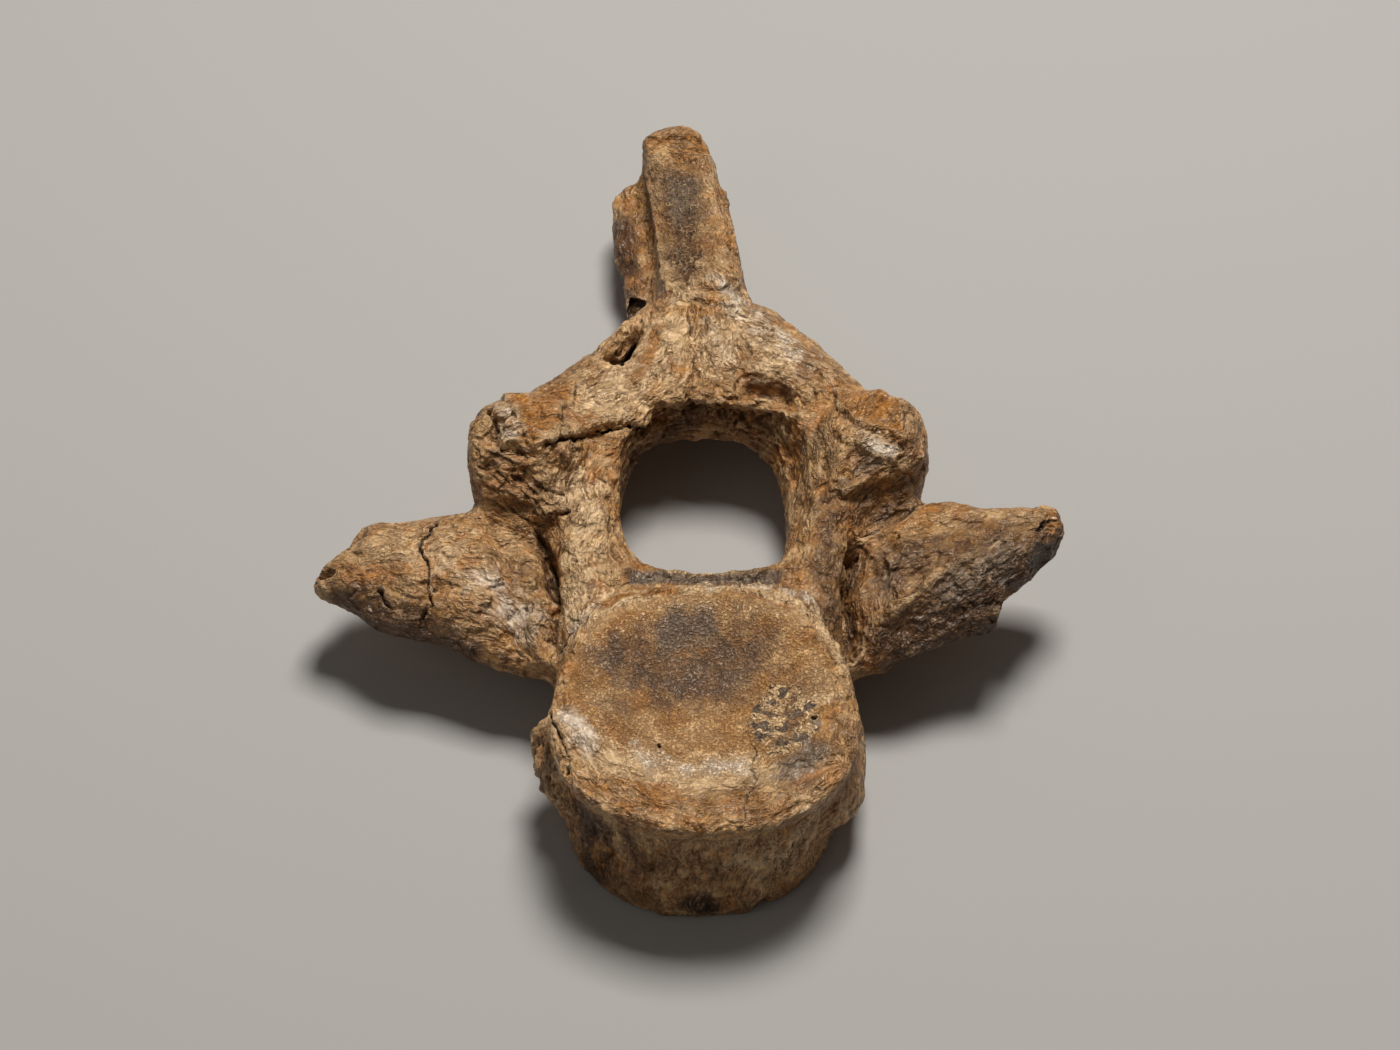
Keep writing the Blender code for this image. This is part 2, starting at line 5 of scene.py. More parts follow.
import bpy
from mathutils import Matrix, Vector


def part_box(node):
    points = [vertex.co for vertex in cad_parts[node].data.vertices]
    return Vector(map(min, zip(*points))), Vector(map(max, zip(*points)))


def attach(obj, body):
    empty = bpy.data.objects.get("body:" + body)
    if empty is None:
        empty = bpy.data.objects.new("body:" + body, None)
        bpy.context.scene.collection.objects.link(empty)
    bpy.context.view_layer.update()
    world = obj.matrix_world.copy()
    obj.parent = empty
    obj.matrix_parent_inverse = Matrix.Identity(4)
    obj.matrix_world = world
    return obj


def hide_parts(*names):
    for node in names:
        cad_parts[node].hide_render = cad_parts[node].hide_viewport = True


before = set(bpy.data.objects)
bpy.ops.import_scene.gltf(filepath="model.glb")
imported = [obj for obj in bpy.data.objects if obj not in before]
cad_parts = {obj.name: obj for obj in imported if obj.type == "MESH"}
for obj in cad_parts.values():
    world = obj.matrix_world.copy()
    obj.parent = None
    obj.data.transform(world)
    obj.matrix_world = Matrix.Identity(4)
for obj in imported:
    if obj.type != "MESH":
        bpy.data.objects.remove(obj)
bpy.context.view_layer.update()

import math
from itertools import product

import bpy
import numpy as np
from mathutils import Matrix, Vector

MM = 0.001

# The mesh
VOXEL = 0.22  # grid that the surface is worked on
FACETS_SMOOTHED = 12  # rounds of smoothing that hide the facets of the solid
DIP_ROUNDS = 6  # rounds that tell a fine dip from what is around it
HOLLOW_ROUNDS = 60  # rounds that tell a broad hollow
MOST_TRIANGLES = 196000

# The camera, fitted to the photo
CAMERA_ELEVATION = 50  # degrees
CAMERA_DISTANCE = 521.4
CAMERA_AIM = (0, 43, 0)
LENS = 106.8
SENSOR = 36


def placed(name, data):
    """A new object in the scene."""
    made = bpy.data.objects.new(name, data)
    bpy.context.scene.collection.objects.link(made)
    return made


# Noise


def unit(vector):
    vector = np.array(vector, np.float32)
    return vector / np.linalg.norm(vector)


def lengths(vectors):
    return np.linalg.norm(vectors, axis=1)


def spread_directions(count):
    """Directions spread evenly over a sphere, along a spiral."""
    index = np.arange(count) + 0.5
    z = 1 - 2 * index / count
    turn = index * math.pi * (3 - math.sqrt(5))
    flat = np.sqrt(1 - z * z)
    return np.stack([flat * np.cos(turn), flat * np.sin(turn), z], axis=1).astype(np.float32)


GRADIENTS = spread_directions(256)  # a power of two
SEED_SHIFT = 17.3  # from one seed to the next, in lumps
NOISE_GAIN = 1.6  # brings the noise to about -1 to 1
CHIP_JITTER = 0.45  # how far a chip's middle strays in its cell


def gradients_at(cells, seed):
    """A fixed but random-looking gradient for each cell. The large numbers scramble the bits."""
    mixed = cells[:, 0] * 73856093 ^ cells[:, 1] * 19349663 ^ cells[:, 2] * 83492791
    mixed = (mixed ^ (seed * 2654435 + 97)) * 1274126177
    mixed = (mixed ^ (mixed >> 15)) * 668265263
    return GRADIENTS[(mixed ^ (mixed >> 13)) & (len(GRADIENTS) - 1)]


def noise(points, size, seed):
    """Smooth noise from about -1 to 1, with lumps of the given size."""
    scaled = points / size + SEED_SHIFT * seed
    cells = np.floor(scaled)
    part = (scaled - cells).astype(np.float32)
    cells = cells.astype(np.int64)
    fade = part * part * part * (part * (part * 6 - 15) + 10)
    total = np.zeros(len(points), np.float32)
    for corner in product((0, 1), repeat=3):
        slope = gradients_at(cells + corner, seed)
        rise = ((part - np.array(corner, np.float32)) * slope).sum(axis=1)
        share = np.where(corner, fade, 1 - fade).prod(axis=1)
        total += share * rise
    return total * NOISE_GAIN


def drift(points, size, reach, seed):
    """The points, each pushed about by up to the given reach."""
    pushes = [noise(points, size, seed + i) for i in range(3)]
    return points + reach * np.stack(pushes, axis=1)


def streaks(points, grain, size, length, seed):
    """Noise drawn out along the grain, with a spread of 1."""
    steps = max(3, round(length / (0.6 * size)))
    total = np.zeros(len(points), np.float32)
    for step in np.linspace(-0.5, 0.5, steps):
        total += noise(points + step * length * grain, size, seed)
    return total / total.std()


def chips(points, size, seed):
    """Flat chips of about the given size, each with its own tilt: the height on them."""
    scaled = points / size
    cells = np.floor(scaled).astype(np.int64)
    nearest = np.full(len(points), np.inf, np.float32)
    height = np.zeros(len(points), np.float32)
    for corner in product((-1, 0, 1), repeat=3):
        cell = cells + corner
        away = (scaled - cell - 0.5 - CHIP_JITTER * gradients_at(cell, seed)).astype(np.float32)
        gap = (away ** 2).sum(axis=1)
        lean = (away * gradients_at(cell, seed + 1)).sum(axis=1)
        height = np.where(gap < nearest, lean, height)
        nearest = np.minimum(gap, nearest)
    return height * size


def ramp(values, low, high):
    """0 at low and 1 at high, with smooth ends."""
    t = np.clip((values - low) / (high - low), 0, 1)
    return t * t * (3 - 2 * t)


def flaked(values):
    """Turns slopes into flat flakes with steep steps between. Also gives the foot of each step."""
    level = np.floor(values)
    part = values - level
    step = ramp(part, 0.62, 0.92)
    foot = ramp(part, 0.50, 0.64) * (1 - ramp(part, 0.70, 0.86))
    return level + 0.7 * step + 0.3 * part, foot


# The grain of the bone: (place, direction, reach), and how it wanders: (size, amount, seed)

GRAIN = [
    # left wing
    ((-43, 26, 13), (0.9, -0.35, 0), 6), ((-36, 30, 13), (1, 0.05, 0), 6),
    ((-34, 22, 14), (0.95, -0.3, 0), 7), ((-26, 24, 14), (0.95, -0.15, 0), 6),
    ((-21, 18, 13), (0.55, -0.85, 0), 5), ((-32, 16, 9), (0.9, -0.25, -0.1), 7),
    ((-24, 32, 13), (0.9, 0.4, 0), 5),
    # right wing
    ((42, 29, 15), (0.95, 0.3, 0), 6), ((33, 24, 16), (0.85, 0.5, 0.1), 7),
    ((25, 26, 15), (0.9, 0.3, 0), 5), ((21, 17, 13), (0.35, 0.95, 0), 5),
    ((30, 17, 11), (0.85, 0.45, 0), 6), ((34, 31, 14), (1, 0.1, 0), 6),
    # pillars and canal walls
    ((-14, 14, 16), (0.2, 1, 0), 5), ((-14, 25, 16), (0.05, 1, 0), 6),
    ((-15, 34, 17), (0.1, 1, 0.1), 5), ((15, 15, 15), (-0.2, 1, 0), 5),
    ((15, 25, 16), (0.05, 1, 0), 6), ((16, 34, 17), (0.1, 1, 0.2), 5),
    ((-9, 36, 8), (0, 0.6, 0.8), 4), ((11, 36, 8), (0, 0.6, 0.8), 4),
    ((0, 21, 8), (1, 0, 0.2), 5), ((0, 50, 10), (1, 0.1, 0.2), 5),
    # knobs
    ((-22, 35, 17), (0.85, -0.25, -0.4), 5), ((-20, 44, 20), (0.9, 0.4, 0), 5),
    ((-26, 40, 16), (0.1, 0.2, 1), 4), ((22, 34, 15), (0.85, 0.4, 0.3), 5),
    ((22, 43, 21), (0.7, 0.7, 0), 5), ((27, 41, 16), (0.1, 0.4, 0.9), 4),
    # the two slopes over the canal
    ((-14, 49, 16), (0.8, 0.55, 0), 6), ((-7, 55, 16), (0.6, 0.8, 0), 6),
    ((0, 58, 16), (0.1, 1, 0), 5), ((8, 56, 16), (-0.7, 0.7, 0), 6),
    ((15, 50, 16), (-0.75, 0.65, 0), 6),
    # spine
    ((-2, 70, 16), (-0.1, 1, 0), 7), ((-3, 84, 14), (-0.15, 1, 0), 8),
    ((-9, 80, 8), (0, 1, 0), 6), ((4, 80, 10), (-0.15, 1, 0), 6),
    ((-3, 96, 13), (1, 0.1, 0.2), 4),
    # drum
    ((0, -16, 7), (0.15, 0, 1), 7), ((-13, -10, 7), (-0.1, 0.1, 1), 7),
    ((13, -10, 7), (0.1, 0.1, 1), 7), ((-19, -1, 9), (0, 0.3, 1), 5),
    ((19, -1, 9), (0, 0.3, 1), 5),
    # scraped patch and lip of the front face
    ((-13.5, -3.5, 17.7), (0.5, -0.85, 0), 3), ((0, -15, 17), (1, 0, 0), 4),
    ((-12, -11, 17), (0.75, -0.65, 0), 4), ((12, -11, 17), (0.75, 0.65, 0), 4),
    ((-17, 0, 17), (0, 1, 0), 4), ((17, 0, 17), (0, 1, 0), 4),
    # rear side
    ((0, 30, 3), (0, 1, 0), 8), ((-30, 24, 6), (1, 0, 0), 8),
    ((30, 26, 8), (1, 0.1, 0), 8),
]


GRAIN_WANDER = [(5, 0.75, 71), (2.2, 0.45, 72)]


def grain_at(points, normals):
    """The direction of the grain at each point, in the plane of the surface."""
    tensor = np.zeros((len(points), 3, 3), np.float32)
    for place, direction, reach in GRAIN:
        along = unit(direction)
        gap = ((points - np.array(place, np.float32)) ** 2).sum(axis=1) / (reach * reach)
        share = 1 / (1 + gap * gap)
        tensor += share[:, None, None] * np.outer(along, along)
    grain = np.linalg.eigh(tensor)[1][:, :, 2].astype(np.float32)
    beside = np.cross(normals, grain)
    wander = sum(amount * noise(points, size, seed) for size, amount, seed in GRAIN_WANDER)
    grain = grain + beside * wander[:, None]
    grain -= (grain * normals).sum(axis=1)[:, None] * normals
    length = lengths(grain)[:, None]
    return grain / np.maximum(length, 0.25)


# The surface and the strokes that work it

CRACK_REACH = (1, 1, 0.35)  # less in height, as a path may run past the surface

# How paths and outlines are pushed about, so that their edges look broken: (size, reach, seed)
WOBBLE = [(2.4, 0.5, 41), (0.9, 0.18, 44)]


def vectors(mesh, name):
    """The place or the normal of each point of a mesh."""
    values = np.empty(len(mesh.vertices) * 3, np.float32)
    mesh.vertices.foreach_get(name, values)
    return values.reshape(-1, 3)


def across(points, start, end):
    """The vector from a straight stretch to each point."""
    span = end - start
    t = np.clip((points - start) @ span / (span @ span), 0, 1)
    return points - start - t[:, None] * span


class Surface:
    """The points of the bone while they are worked, in millimetres."""

    def __init__(self, mesh):
        self.mesh = mesh
        self.points = vectors(mesh, "co")
        self.normals = vectors(mesh, "normal")
        pushed = sum(drift(self.points, size, reach, seed) for size, reach, seed in WOBBLE)
        self.wobble = pushed - len(WOBBLE) * self.points

    def settle(self):
        """Writes the points to the mesh and reads its new normals."""
        self.mesh.vertices.foreach_set("co", self.points.ravel())
        self.mesh.update()
        self.normals = vectors(self.mesh, "normal")

    def facing_up(self):
        """1 where the surface faces up, 0 on steep and lower sides."""
        return ramp(self.normals[:, 2], 0.1, 0.5)

    def gap(self, path):
        """The shortest vector from a path to each point. A path has one or more places."""
        points = self.points + self.wobble
        path = np.array(path, np.float32)
        best = points - path[0]
        for start, end in zip(path, path[1:]):
            gap = across(points, start, end)
            nearer = (gap ** 2).sum(axis=1) < (best ** 2).sum(axis=1)
            best = np.where(nearer[:, None], gap, best)
        return best

    def weight(self, path, radius):
        """1 on the path, falling smoothly to 0 at the radius."""
        distance = lengths(self.gap(path))
        return np.clip(1 - (distance / radius) ** 2, 0, 1) ** 2

    def lift(self, heights):
        self.points += heights[:, None] * self.normals

    def move(self, amounts, towards):
        self.points += amounts[:, None] * unit(towards)

    def swell(self, path, radius, height):
        """A soft ridge or lump."""
        self.lift(self.weight(path, radius) * height)

    def press(self, path, radius, depth, towards):
        """A soft hollow, pressed in a direction."""
        self.move(self.weight(path, radius) * depth, towards)

    def crack(self, path, width, depth, towards=(0, 0, -1)):
        """A narrow cleft with steep walls. Returns where it is."""
        distance = lengths(self.gap(path) * CRACK_REACH)
        inside = 1 - ramp(distance, 0.3 * width, width)
        self.move(inside * depth, towards)
        return inside * min(1, 2 * depth)

    def step(self, path, reach, height, side):
        """A crisp edge along the path: the surface stands up on one side of it."""
        gap = self.gap(path)
        over = ramp(gap @ unit(side), -0.15, 0.2)
        self.lift(height * over * (1 - ramp(lengths(gap), 0.2 * reach, reach)))

    def inside(self, outline, soft=0.2):
        """1 on the upper side inside an outline drawn from above, 0 elsewhere."""
        points = (self.points + self.wobble)[:, :2]
        outline = np.array(outline, np.float32)
        inside = np.zeros(len(points), bool)
        nearest = np.full(len(points), np.inf, np.float32)
        for start, end in zip(outline, np.roll(outline, -1, axis=0)):
            nearest = np.minimum(nearest, lengths(across(points, start, end)))
            crosses = (start[1] > points[:, 1]) != (end[1] > points[:, 1])
            span = end - start
            slope = span[0] / (span[1] if span[1] else 1)
            inside ^= crosses & (points[:, 0] < start[0] + slope * (points[:, 1] - start[1]))
        depth = np.where(inside, nearest, -nearest)
        return self.facing_up() * ramp(depth, -soft, soft)

    def slab(self, outline, height, soft=0.2):
        """A plate with a crisp edge: what is inside the outline stands higher."""
        self.lift(height * self.inside(outline, soft))

    def hole(self, outline, depth, towards):
        """A hole with steep walls. Returns where it is, with its edge."""
        edged = ramp(self.inside(outline, 0.5), 0.1, 0.4)
        self.move(self.inside(outline) * depth, towards)
        return edged

    def layers(self, path, radius, up, thickness, height):
        """Thin layers that show as ledges, stacked in the direction given by up."""
        there = ramp(self.weight(path, radius), 0, 0.35)
        part = ((self.points + 1.6 * self.wobble) @ unit(up) / thickness) % 1
        self.lift(height * there * (1 - part) * ramp(part, 0, 0.16))

    def facet(self, centre, square, radius):
        """Cuts off flat what stands above a plane through the centre."""
        square = unit(square)
        away = self.points - np.array(centre, np.float32)
        above = np.maximum(away @ square, 0)
        inside = 1 - ramp(lengths(away), 0.7 * radius, radius)
        self.points -= (inside * above)[:, None] * square


def with_modifiers(mesh, *modifiers):
    """A new mesh, as modifiers make it from this one. Each is given as its kind and settings."""
    work = placed("work", mesh)
    for kind, settings in modifiers:
        modifier = work.modifiers.new(kind, kind)
        for name, value in settings.items():
            setattr(modifier, name, value)
    graph = bpy.context.evaluated_depsgraph_get()
    made = bpy.data.meshes.new_from_object(work.evaluated_get(graph))
    bpy.data.objects.remove(work)
    return made


def smoothing(rounds):
    return "SMOOTH", {"factor": 0.5, "iterations": rounds}


def fine_mesh(node):
    """The solid's surface on a fine even grid, in millimetres, with its facets smoothed."""
    mesh = node.data.copy()
    mesh.transform(Matrix.Scale(1 / MM, 4))
    grid = "REMESH", {"mode": "VOXEL", "voxel_size": VOXEL}
    return with_modifiers(mesh, grid, smoothing(FACETS_SMOOTHED))


def thinned(mesh, triangles):
    """The mesh with fewer triangles, most of them left where the surface bends."""
    mesh.calc_loop_triangles()
    return with_modifiers(mesh, ("DECIMATE", {"ratio": triangles / len(mesh.loop_triangles)}))


def keep_inside(mesh, low, high):
    """Puts back what thinning has moved out of a box, by a few hundredths of a millimetre."""
    points = np.clip(vectors(mesh, "co"), low, high)
    mesh.vertices.foreach_set("co", points.astype(np.float32).ravel())
    mesh.update()


def hollowness(bone, rounds):
    """How far each point lies below the surface around it, in millimetres."""
    evened = with_modifiers(bone.mesh, smoothing(rounds))
    below = vectors(evened, "co") - bone.points
    bpy.data.meshes.remove(evened)
    return (below * bone.normals).sum(axis=1)


# Regions of the bone. The hollow front face is an oval when it is seen from above

FACE_CENTRE = (0.2, 4.6)
FACE_REACH = (16.4, 14.6)
FACE_HEIGHT = (13.2, 14.6)  # where it fades out on the drum's side

SEAT = [(-3.6, 88, 15), (-2.4, 80, 15.6), (-1.7, 72, 16.2)]
SEAT_RADIUS = 5.6


def on_front_face(bone):
    """1 on the hollow front face of the centrum, 0 elsewhere."""
    x, y, z = (bone.points + 1.5 * bone.wobble).T
    sideways = (x - FACE_CENTRE[0]) / FACE_REACH[0]
    up = (y - FACE_CENTRE[1]) / FACE_REACH[1]
    inside = 1 - ramp(np.hypot(sideways, up), 0.86, 1)
    return inside * ramp(z, *FACE_HEIGHT) * ramp(bone.normals[:, 2], 0.55, 0.8)


def on_seat(bone):
    """1 on the rough seat on the front of the spine."""
    return ramp(bone.weight(SEAT, SEAT_RADIUS), 0.1, 0.45) * bone.facing_up()


# Outlines drawn from above, of plates that also have a stain of their own

LEFT_PLATE = [(-24.5, 47.5), (-15, 52.5), (-16, 49.4), (-16.6, 44.1), (-17, 41), (-17.6, 38.2), (-20, 37.6),
    (-20.9, 38.9), (-21.7, 40.9), (-22.7, 44.1)]
RIGHT_PLATE = [(16.9, 50.9), (18.5, 50.3), (20.3, 46.6), (22.4, 46.4), (24.2, 44), (24.9, 41.1),
    (24.8, 39.6), (24.3, 38.6), (23, 38.9), (21.3, 39.7), (19.6, 40.9), (18.2, 42.2), (17.1, 44.6)]
WORN_BAND = [(18.5, 39.8), (19.6, 40.3), (21.3, 38.9), (23, 38.2), (24.4, 38), (25, 37.4), (23.9, 36.4),
    (22.5, 36.3), (20.8, 37.2), (19.2, 38.2)]
WORN_LUMP = [(-24.6, 44.6), (-23, 43.9), (-21.8, 41.6), (-21.4, 39.4), (-22.4, 37.7), (-24, 37.8),
    (-24.4, 40.4), (-25.2, 42.6)]
CRUST = [(7, 4.2), (8.7, 5.4), (11.6, 3.9), (13.3, 2), (14.4, -0.3), (13.6, -3.2), (11.8, -5.2),
    (9.6, -6.2), (7.8, -5.3), (6.4, -2.7), (5.6, 0.8)]


# Working the surface, region by region


def left_knob(bone):
    """A flat stained plate, a worn lump beside it, and a flaky slope below."""
    bone.facet((-18.9, 41.6, 21.7), (0.05, -0.05, 1), 5)
    bone.slab(LEFT_PLATE, 0.6)
    bone.swell([(-23.6, 43.4, 20.9), (-22.6, 40.6, 22), (-22.8, 38.4, 22)], 2.2, 0.8)
    bone.facet((-23.2, 40.2, 22.3), (-0.3, -0.4, 0.86), 2.6)
    bone.crack([(-25.9, 43.8, 20.8), (-25, 41.9, 20.4), (-24.5, 39.6, 21), (-24.1, 38, 21.4)], 0.7, 1.2)
    bone.crack([(-24, 37.2, 21.4), (-21.7, 36.9, 21.1), (-19.5, 36.9, 21.4), (-18, 38, 21.7)], 0.4, 0.6)
    bone.swell([(-27.4, 42, 20), (-27.2, 39.4, 20), (-26.4, 36.1, 18.4), (-25.8, 34.7, 14.6)], 1.4, 0.4)
    bone.press([(-18.4, 34.9, 18.4), (-18.3, 33.7, 16.4), (-18.7, 32.8, 14.6)], 2.4, 1, (0, -0.7, 0.7))
    bone.press([(-24, 34.2, 15.6), (-21.4, 33.4, 15), (-19.4, 32.6, 14.2)], 4.4, 1.9, (0, -0.65, 0.76))
    bone.press([(-26.4, 33, 13.2), (-23.6, 32.4, 12.8), (-21.4, 32, 12.8)], 3.6, 1.8, (-0.3, -0.4, 0.87))
    bone.layers([(-25.5, 36, 18), (-21.8, 34.4, 17.2), (-18.8, 33.6, 15.4)], 4.2, (0.62, 0.37, 0.69), 1.15,
        0.32)
    bone.slab([(-17.4, 37), (-16.3, 38.2), (-14.6, 40.7), (-12.6, 42.2), (-13.2, 40.3), (-14.8, 37.5),
        (-16.5, 36.1)], 0.3)


def right_knob(bone):
    """A flat stained top with a rim, two worn facets, and a steep face below their edge."""
    bone.facet((22.4, 41.6, 21.6), (-0.05, 0.02, 1), 5)
    bone.slab(RIGHT_PLATE, 0.65)
    bone.press([(26.6, 45, 19.8), (27.2, 41, 19.4)], 1.8, 0.6, (-0.6, 0, -0.8))
    bone.facet((22, 37.2, 20.7), (0, -0.45, 0.89), 3.4)
    bone.slab(WORN_BAND, 0.45, 0.3)
    bone.facet((17.6, 36, 18.8), (-0.2, -0.4, 0.9), 2.8)
    below = [(16.5, 32.8, 16.2), (19, 33, 16.8), (21.8, 34.2, 17), (24.6, 35.3, 17.2), (27.2, 37.4, 16.2)]
    bone.press(below, 1.8, 0.8, (0, 0.95, -0.3))
    bone.facet((23, 33.6, 15.8), (0.15, -0.85, 0.5), 4.4)
    bone.layers([(20, 32.6, 15.4), (26, 35.6, 15.4)], 2.6, (-0.3, 0.5, 0.8), 1.1, 0.12)


def wing_roots(bone):
    """Where the wings run in under the pillars: a cleft that fades downwards on the left."""
    bone.press([(-22.6, 30, 12.6), (-20.9, 27.6, 12.4), (-20, 24, 12.5), (-19.6, 21, 12.4)], 3.4, 1.3,
        (-0.1, 0, 0.99))
    bone.crack([(-21.4, 31.4, 12.6), (-19.8, 30, 12.8), (-18.8, 28, 12.8), (-18.3, 25.6, 12.8)], 0.7, 1.6,
        (0.4, 0, -0.9))
    bone.press([(-17.9, 18.6, 11.8), (-18.1, 15.6, 11.2), (-18, 12.8, 10.4)], 3.6, 2.6, (-0.35, -0.1, 0.93))
    bone.crack([(-18.3, 26.4, 12.8), (-17.9, 23.6, 12.6), (-17.5, 20.8, 12.8), (-17.3, 17.6, 12.6)], 1.2,
        2.4, (0.45, 0, -0.9))
    right = [(18.2, 27.2, 12.8), (17.7, 24, 13), (17.4, 20.5, 12.8), (17.7, 16.8, 11.2)]
    bone.press(right, 2.4, 1.2, (-0.2, 0, -0.97))
    bone.crack(right + [(18.2, 14, 10.4)], 1.1, 3.2, (-0.45, 0, -0.9))


def left_wing(bone):
    """The chipped tip of the wing."""
    bone.facet((-43.4, 27.3, 13), (-0.68, 0.72, 0.1), 5)
    bone.crack([(-46.9, 25, 12.4), (-45.4, 24.7, 12.8), (-44.2, 24.2, 13)], 0.6, 1, (0.7, 0, -0.7))
    bone.step([(-45, 23.6, 12.6), (-43.2, 21.6, 11.6), (-41.6, 20, 10.6)], 1.6, 0.4, (-0.6, -0.6, 0))


def right_wing(bone):
    """Worn facets on both sides of a ridge, and the chipped tip."""
    ridge = [(20.4, 16, 12.4), (22, 17.4, 14), (24.6, 18.6, 15.6), (27.2, 20.6, 16.3), (29.2, 22.3, 16.6),
        (32.9, 24.3, 17.3), (36.5, 26.6, 17)]
    bone.swell(ridge, 1.8, 0.55)
    bone.facet((24.2, 21.4, 15.3), (-0.4, -0.2, 0.88), 3.4)
    bone.facet((28.6, 17.8, 14.6), (0.1, -0.7, 0.7), 4)
    bone.facet((33.4, 20.3, 15.9), (0.2, -0.65, 0.72), 4.2)
    bone.facet((37.2, 23.2, 16.2), (0.3, -0.6, 0.74), 4)
    bone.facet((32, 28, 17), (-0.05, 0.1, 1), 5)
    bone.layers([(30, 18.6, 15), (38, 23.6, 16)], 3.2, (-0.4, 0.75, 0.5), 1.6, 0.16)
    bone.facet((39.3, 23.8, 12), (0.68, -0.56, -0.47), 7.5)
    bone.facet((35.3, 18, 11.6), (0.957, -0.22, -0.19), 7)
    bone.facet((27, 14.6, 10.6), (0.27, -0.735, -0.617), 6)
    bone.swell([(22.8, 24.9, 15)], 0.8, 0.5)


def arch(bone):
    """The loose edge over the left pillar, the rim of the roof and the hollow in the right slope."""
    split = [(-17.9, 38, 21.7), (-15.6, 40.4, 20), (-12.3, 44.3, 16.4), (-9.8, 44.9, 15.8),
        (-7.4, 46.8, 14.6)]
    bone.step(split, 3, 0.7, (0.2, 0.95, 0.2))
    under_rim = [(-6.5, 46.6, 12.8), (-4, 48, 13.2), (-0.5, 49.4, 13.6), (4.5, 48.8, 13), (9, 47.2, 13.6)]
    bone.press(under_rim, 2.2, 1.9, (0, 0.95, -0.1))
    rim = [(-4.3, 49.5, 15.6), (-1.9, 50.8, 15.8), (0.6, 50.8, 15.7), (3.7, 50.1, 15), (5.6, 49.8, 14.8),
        (12.3, 46.8, 16.3)]
    bone.swell(rim, 1, 0.5)
    bone.step([(-11.4, 37.8, 16.7), (-11.1, 34.2, 16.2), (-11.2, 30.2, 16.3), (-11, 26.4, 16.1),
        (-10.3, 22.3, 16.3)], 1.8, 0.4, (-1, 0, 0))
    bone.press([(5.6, 52, 15.7), (8.1, 51.6, 15.2), (10.5, 50.4, 15.4)], 1.9, 1.1, (0, 0.2, -0.97))
    bone.press([(-11.8, 58.8, 14.6), (-10.4, 60.8, 14.2), (-9.2, 62.8, 14.2)], 1.9, 1.3, (0.1, -0.2, 0.97))
    bone.step([(-1.6, 63, 16.9), (-1.2, 58.7, 17), (-1, 54.5, 16.3), (-1.8, 52, 15.8)], 2.2, 0.35,
        (-1, 0, 0))


def spine(bone):
    """The raised tip, the sunk seat under it, the lobe at its foot and the ribs beside it."""
    bone.press([(-11.8, 88, 8.9), (-11, 84, 8.9), (-10.2, 80, 8.6)], 3.4, 0.8, (1, 0, 0))
    bone.swell([(-6, 88, 13.9), (-6.1, 84, 13.5), (-5.7, 80, 13.4), (-5.2, 76, 14.2), (-4.6, 72, 15.2),
        (-3.5, 68, 16.4)], 1.2, 0.5)
    bone.slab([(-5.2, 88.6), (-4.2, 89.6), (-1.3, 90.2), (0.9, 88.4), (1.7, 85.5), (2, 80.6), (2.8, 74),
        (0.4, 74.2), (-1, 70.5), (-2, 67.2), (-3.4, 69), (-4.4, 74.5), (-4.9, 80), (-5.2, 85.5)], -0.4, 0.6)
    bone.slab([(0.3, 74.9), (3.2, 75.5), (4.8, 72), (5.2, 69.4), (3.9, 64.8), (1.3, 65.2), (-1.6, 66.7),
        (-1, 70.5)], 0.45, 0.4)
    bone.swell([(2.8, 88, 13.5), (3.4, 84, 13.2), (3.7, 80, 14.2), (4.4, 76.5, 14.4)], 1, 0.4)
    bone.step([(3.2, 88, 13), (4, 81, 13.6), (5, 75, 13.4)], 1.4, 0.3, (-1, 0, 0))


FACE_RIM = [(-15.6, 10, 16), (-13.4, 13.6, 16.6), (-10.5, 16.4, 16.9), (-6, 18.3, 17), (0, 18.9, 17.1),
    (6.5, 18.7, 17), (11.4, 16.9, 16.8), (14.8, 12.6, 16.9), (17, 6, 17.2)]
LIP = [(-15.8, -8.1, 16.6), (-11.1, -13.3, 17.1), (-4.1, -16.1, 17.2), (1.7, -16.6, 17.1), (8, -15.6, 16.9),
    (13.6, -11.9, 17.1), (17.2, -7.2, 16.6)]


def drum(bone):
    """The dished face with its rim and lip, the waist below the lip, the side lump and the chip."""
    bone.press([(-2, 6, 16), (2, 6, 16)], 13, 0.9, (0, 0, -1))
    bone.swell(FACE_RIM, 1.1, 0.45)
    bone.swell(LIP, 0.9, 0.3)
    bone.press([(-12, -13, 13.6), (-4, -16.4, 13.8), (4, -16.8, 13.8), (12, -14, 13.6)], 3, 0.7, (0, 1, 0))
    bone.press([(-8, 21.4, 16.2), (0, 21.8, 16.4), (9, 21.2, 16.2)], 1.2, 0.5, (0, 0, -1))
    bone.step([(-16.8, -1.6, 17), (-15.6, -4.4, 17.3), (-15, -7.6, 17.2), (-14.2, -10.4, 16.6)], 1.8, 0.5,
        (1, 0.4, 0))
    bone.swell([(-18.8, 1, 10.4), (-17.9, -3, 10.2), (-16.6, -6, 9.4)], 1.8, 0.4)
    bone.press([(7.4, -15.6, 0.6)], 1.8, 1.2, (-0.1, 1, 0.4))
    bone.press([(-0.3, -16.4, 13), (-0.3, -16.4, 6)], 1.5, 0.35, (0, 1, 0))


def broad_forms(bone):
    for region in (left_knob, right_knob, wing_roots, left_wing, right_wing, arch, spine, drum):
        region(bone)
        bone.settle()


# Where the relief is stronger or weaker than elsewhere: (path, radius, amount)

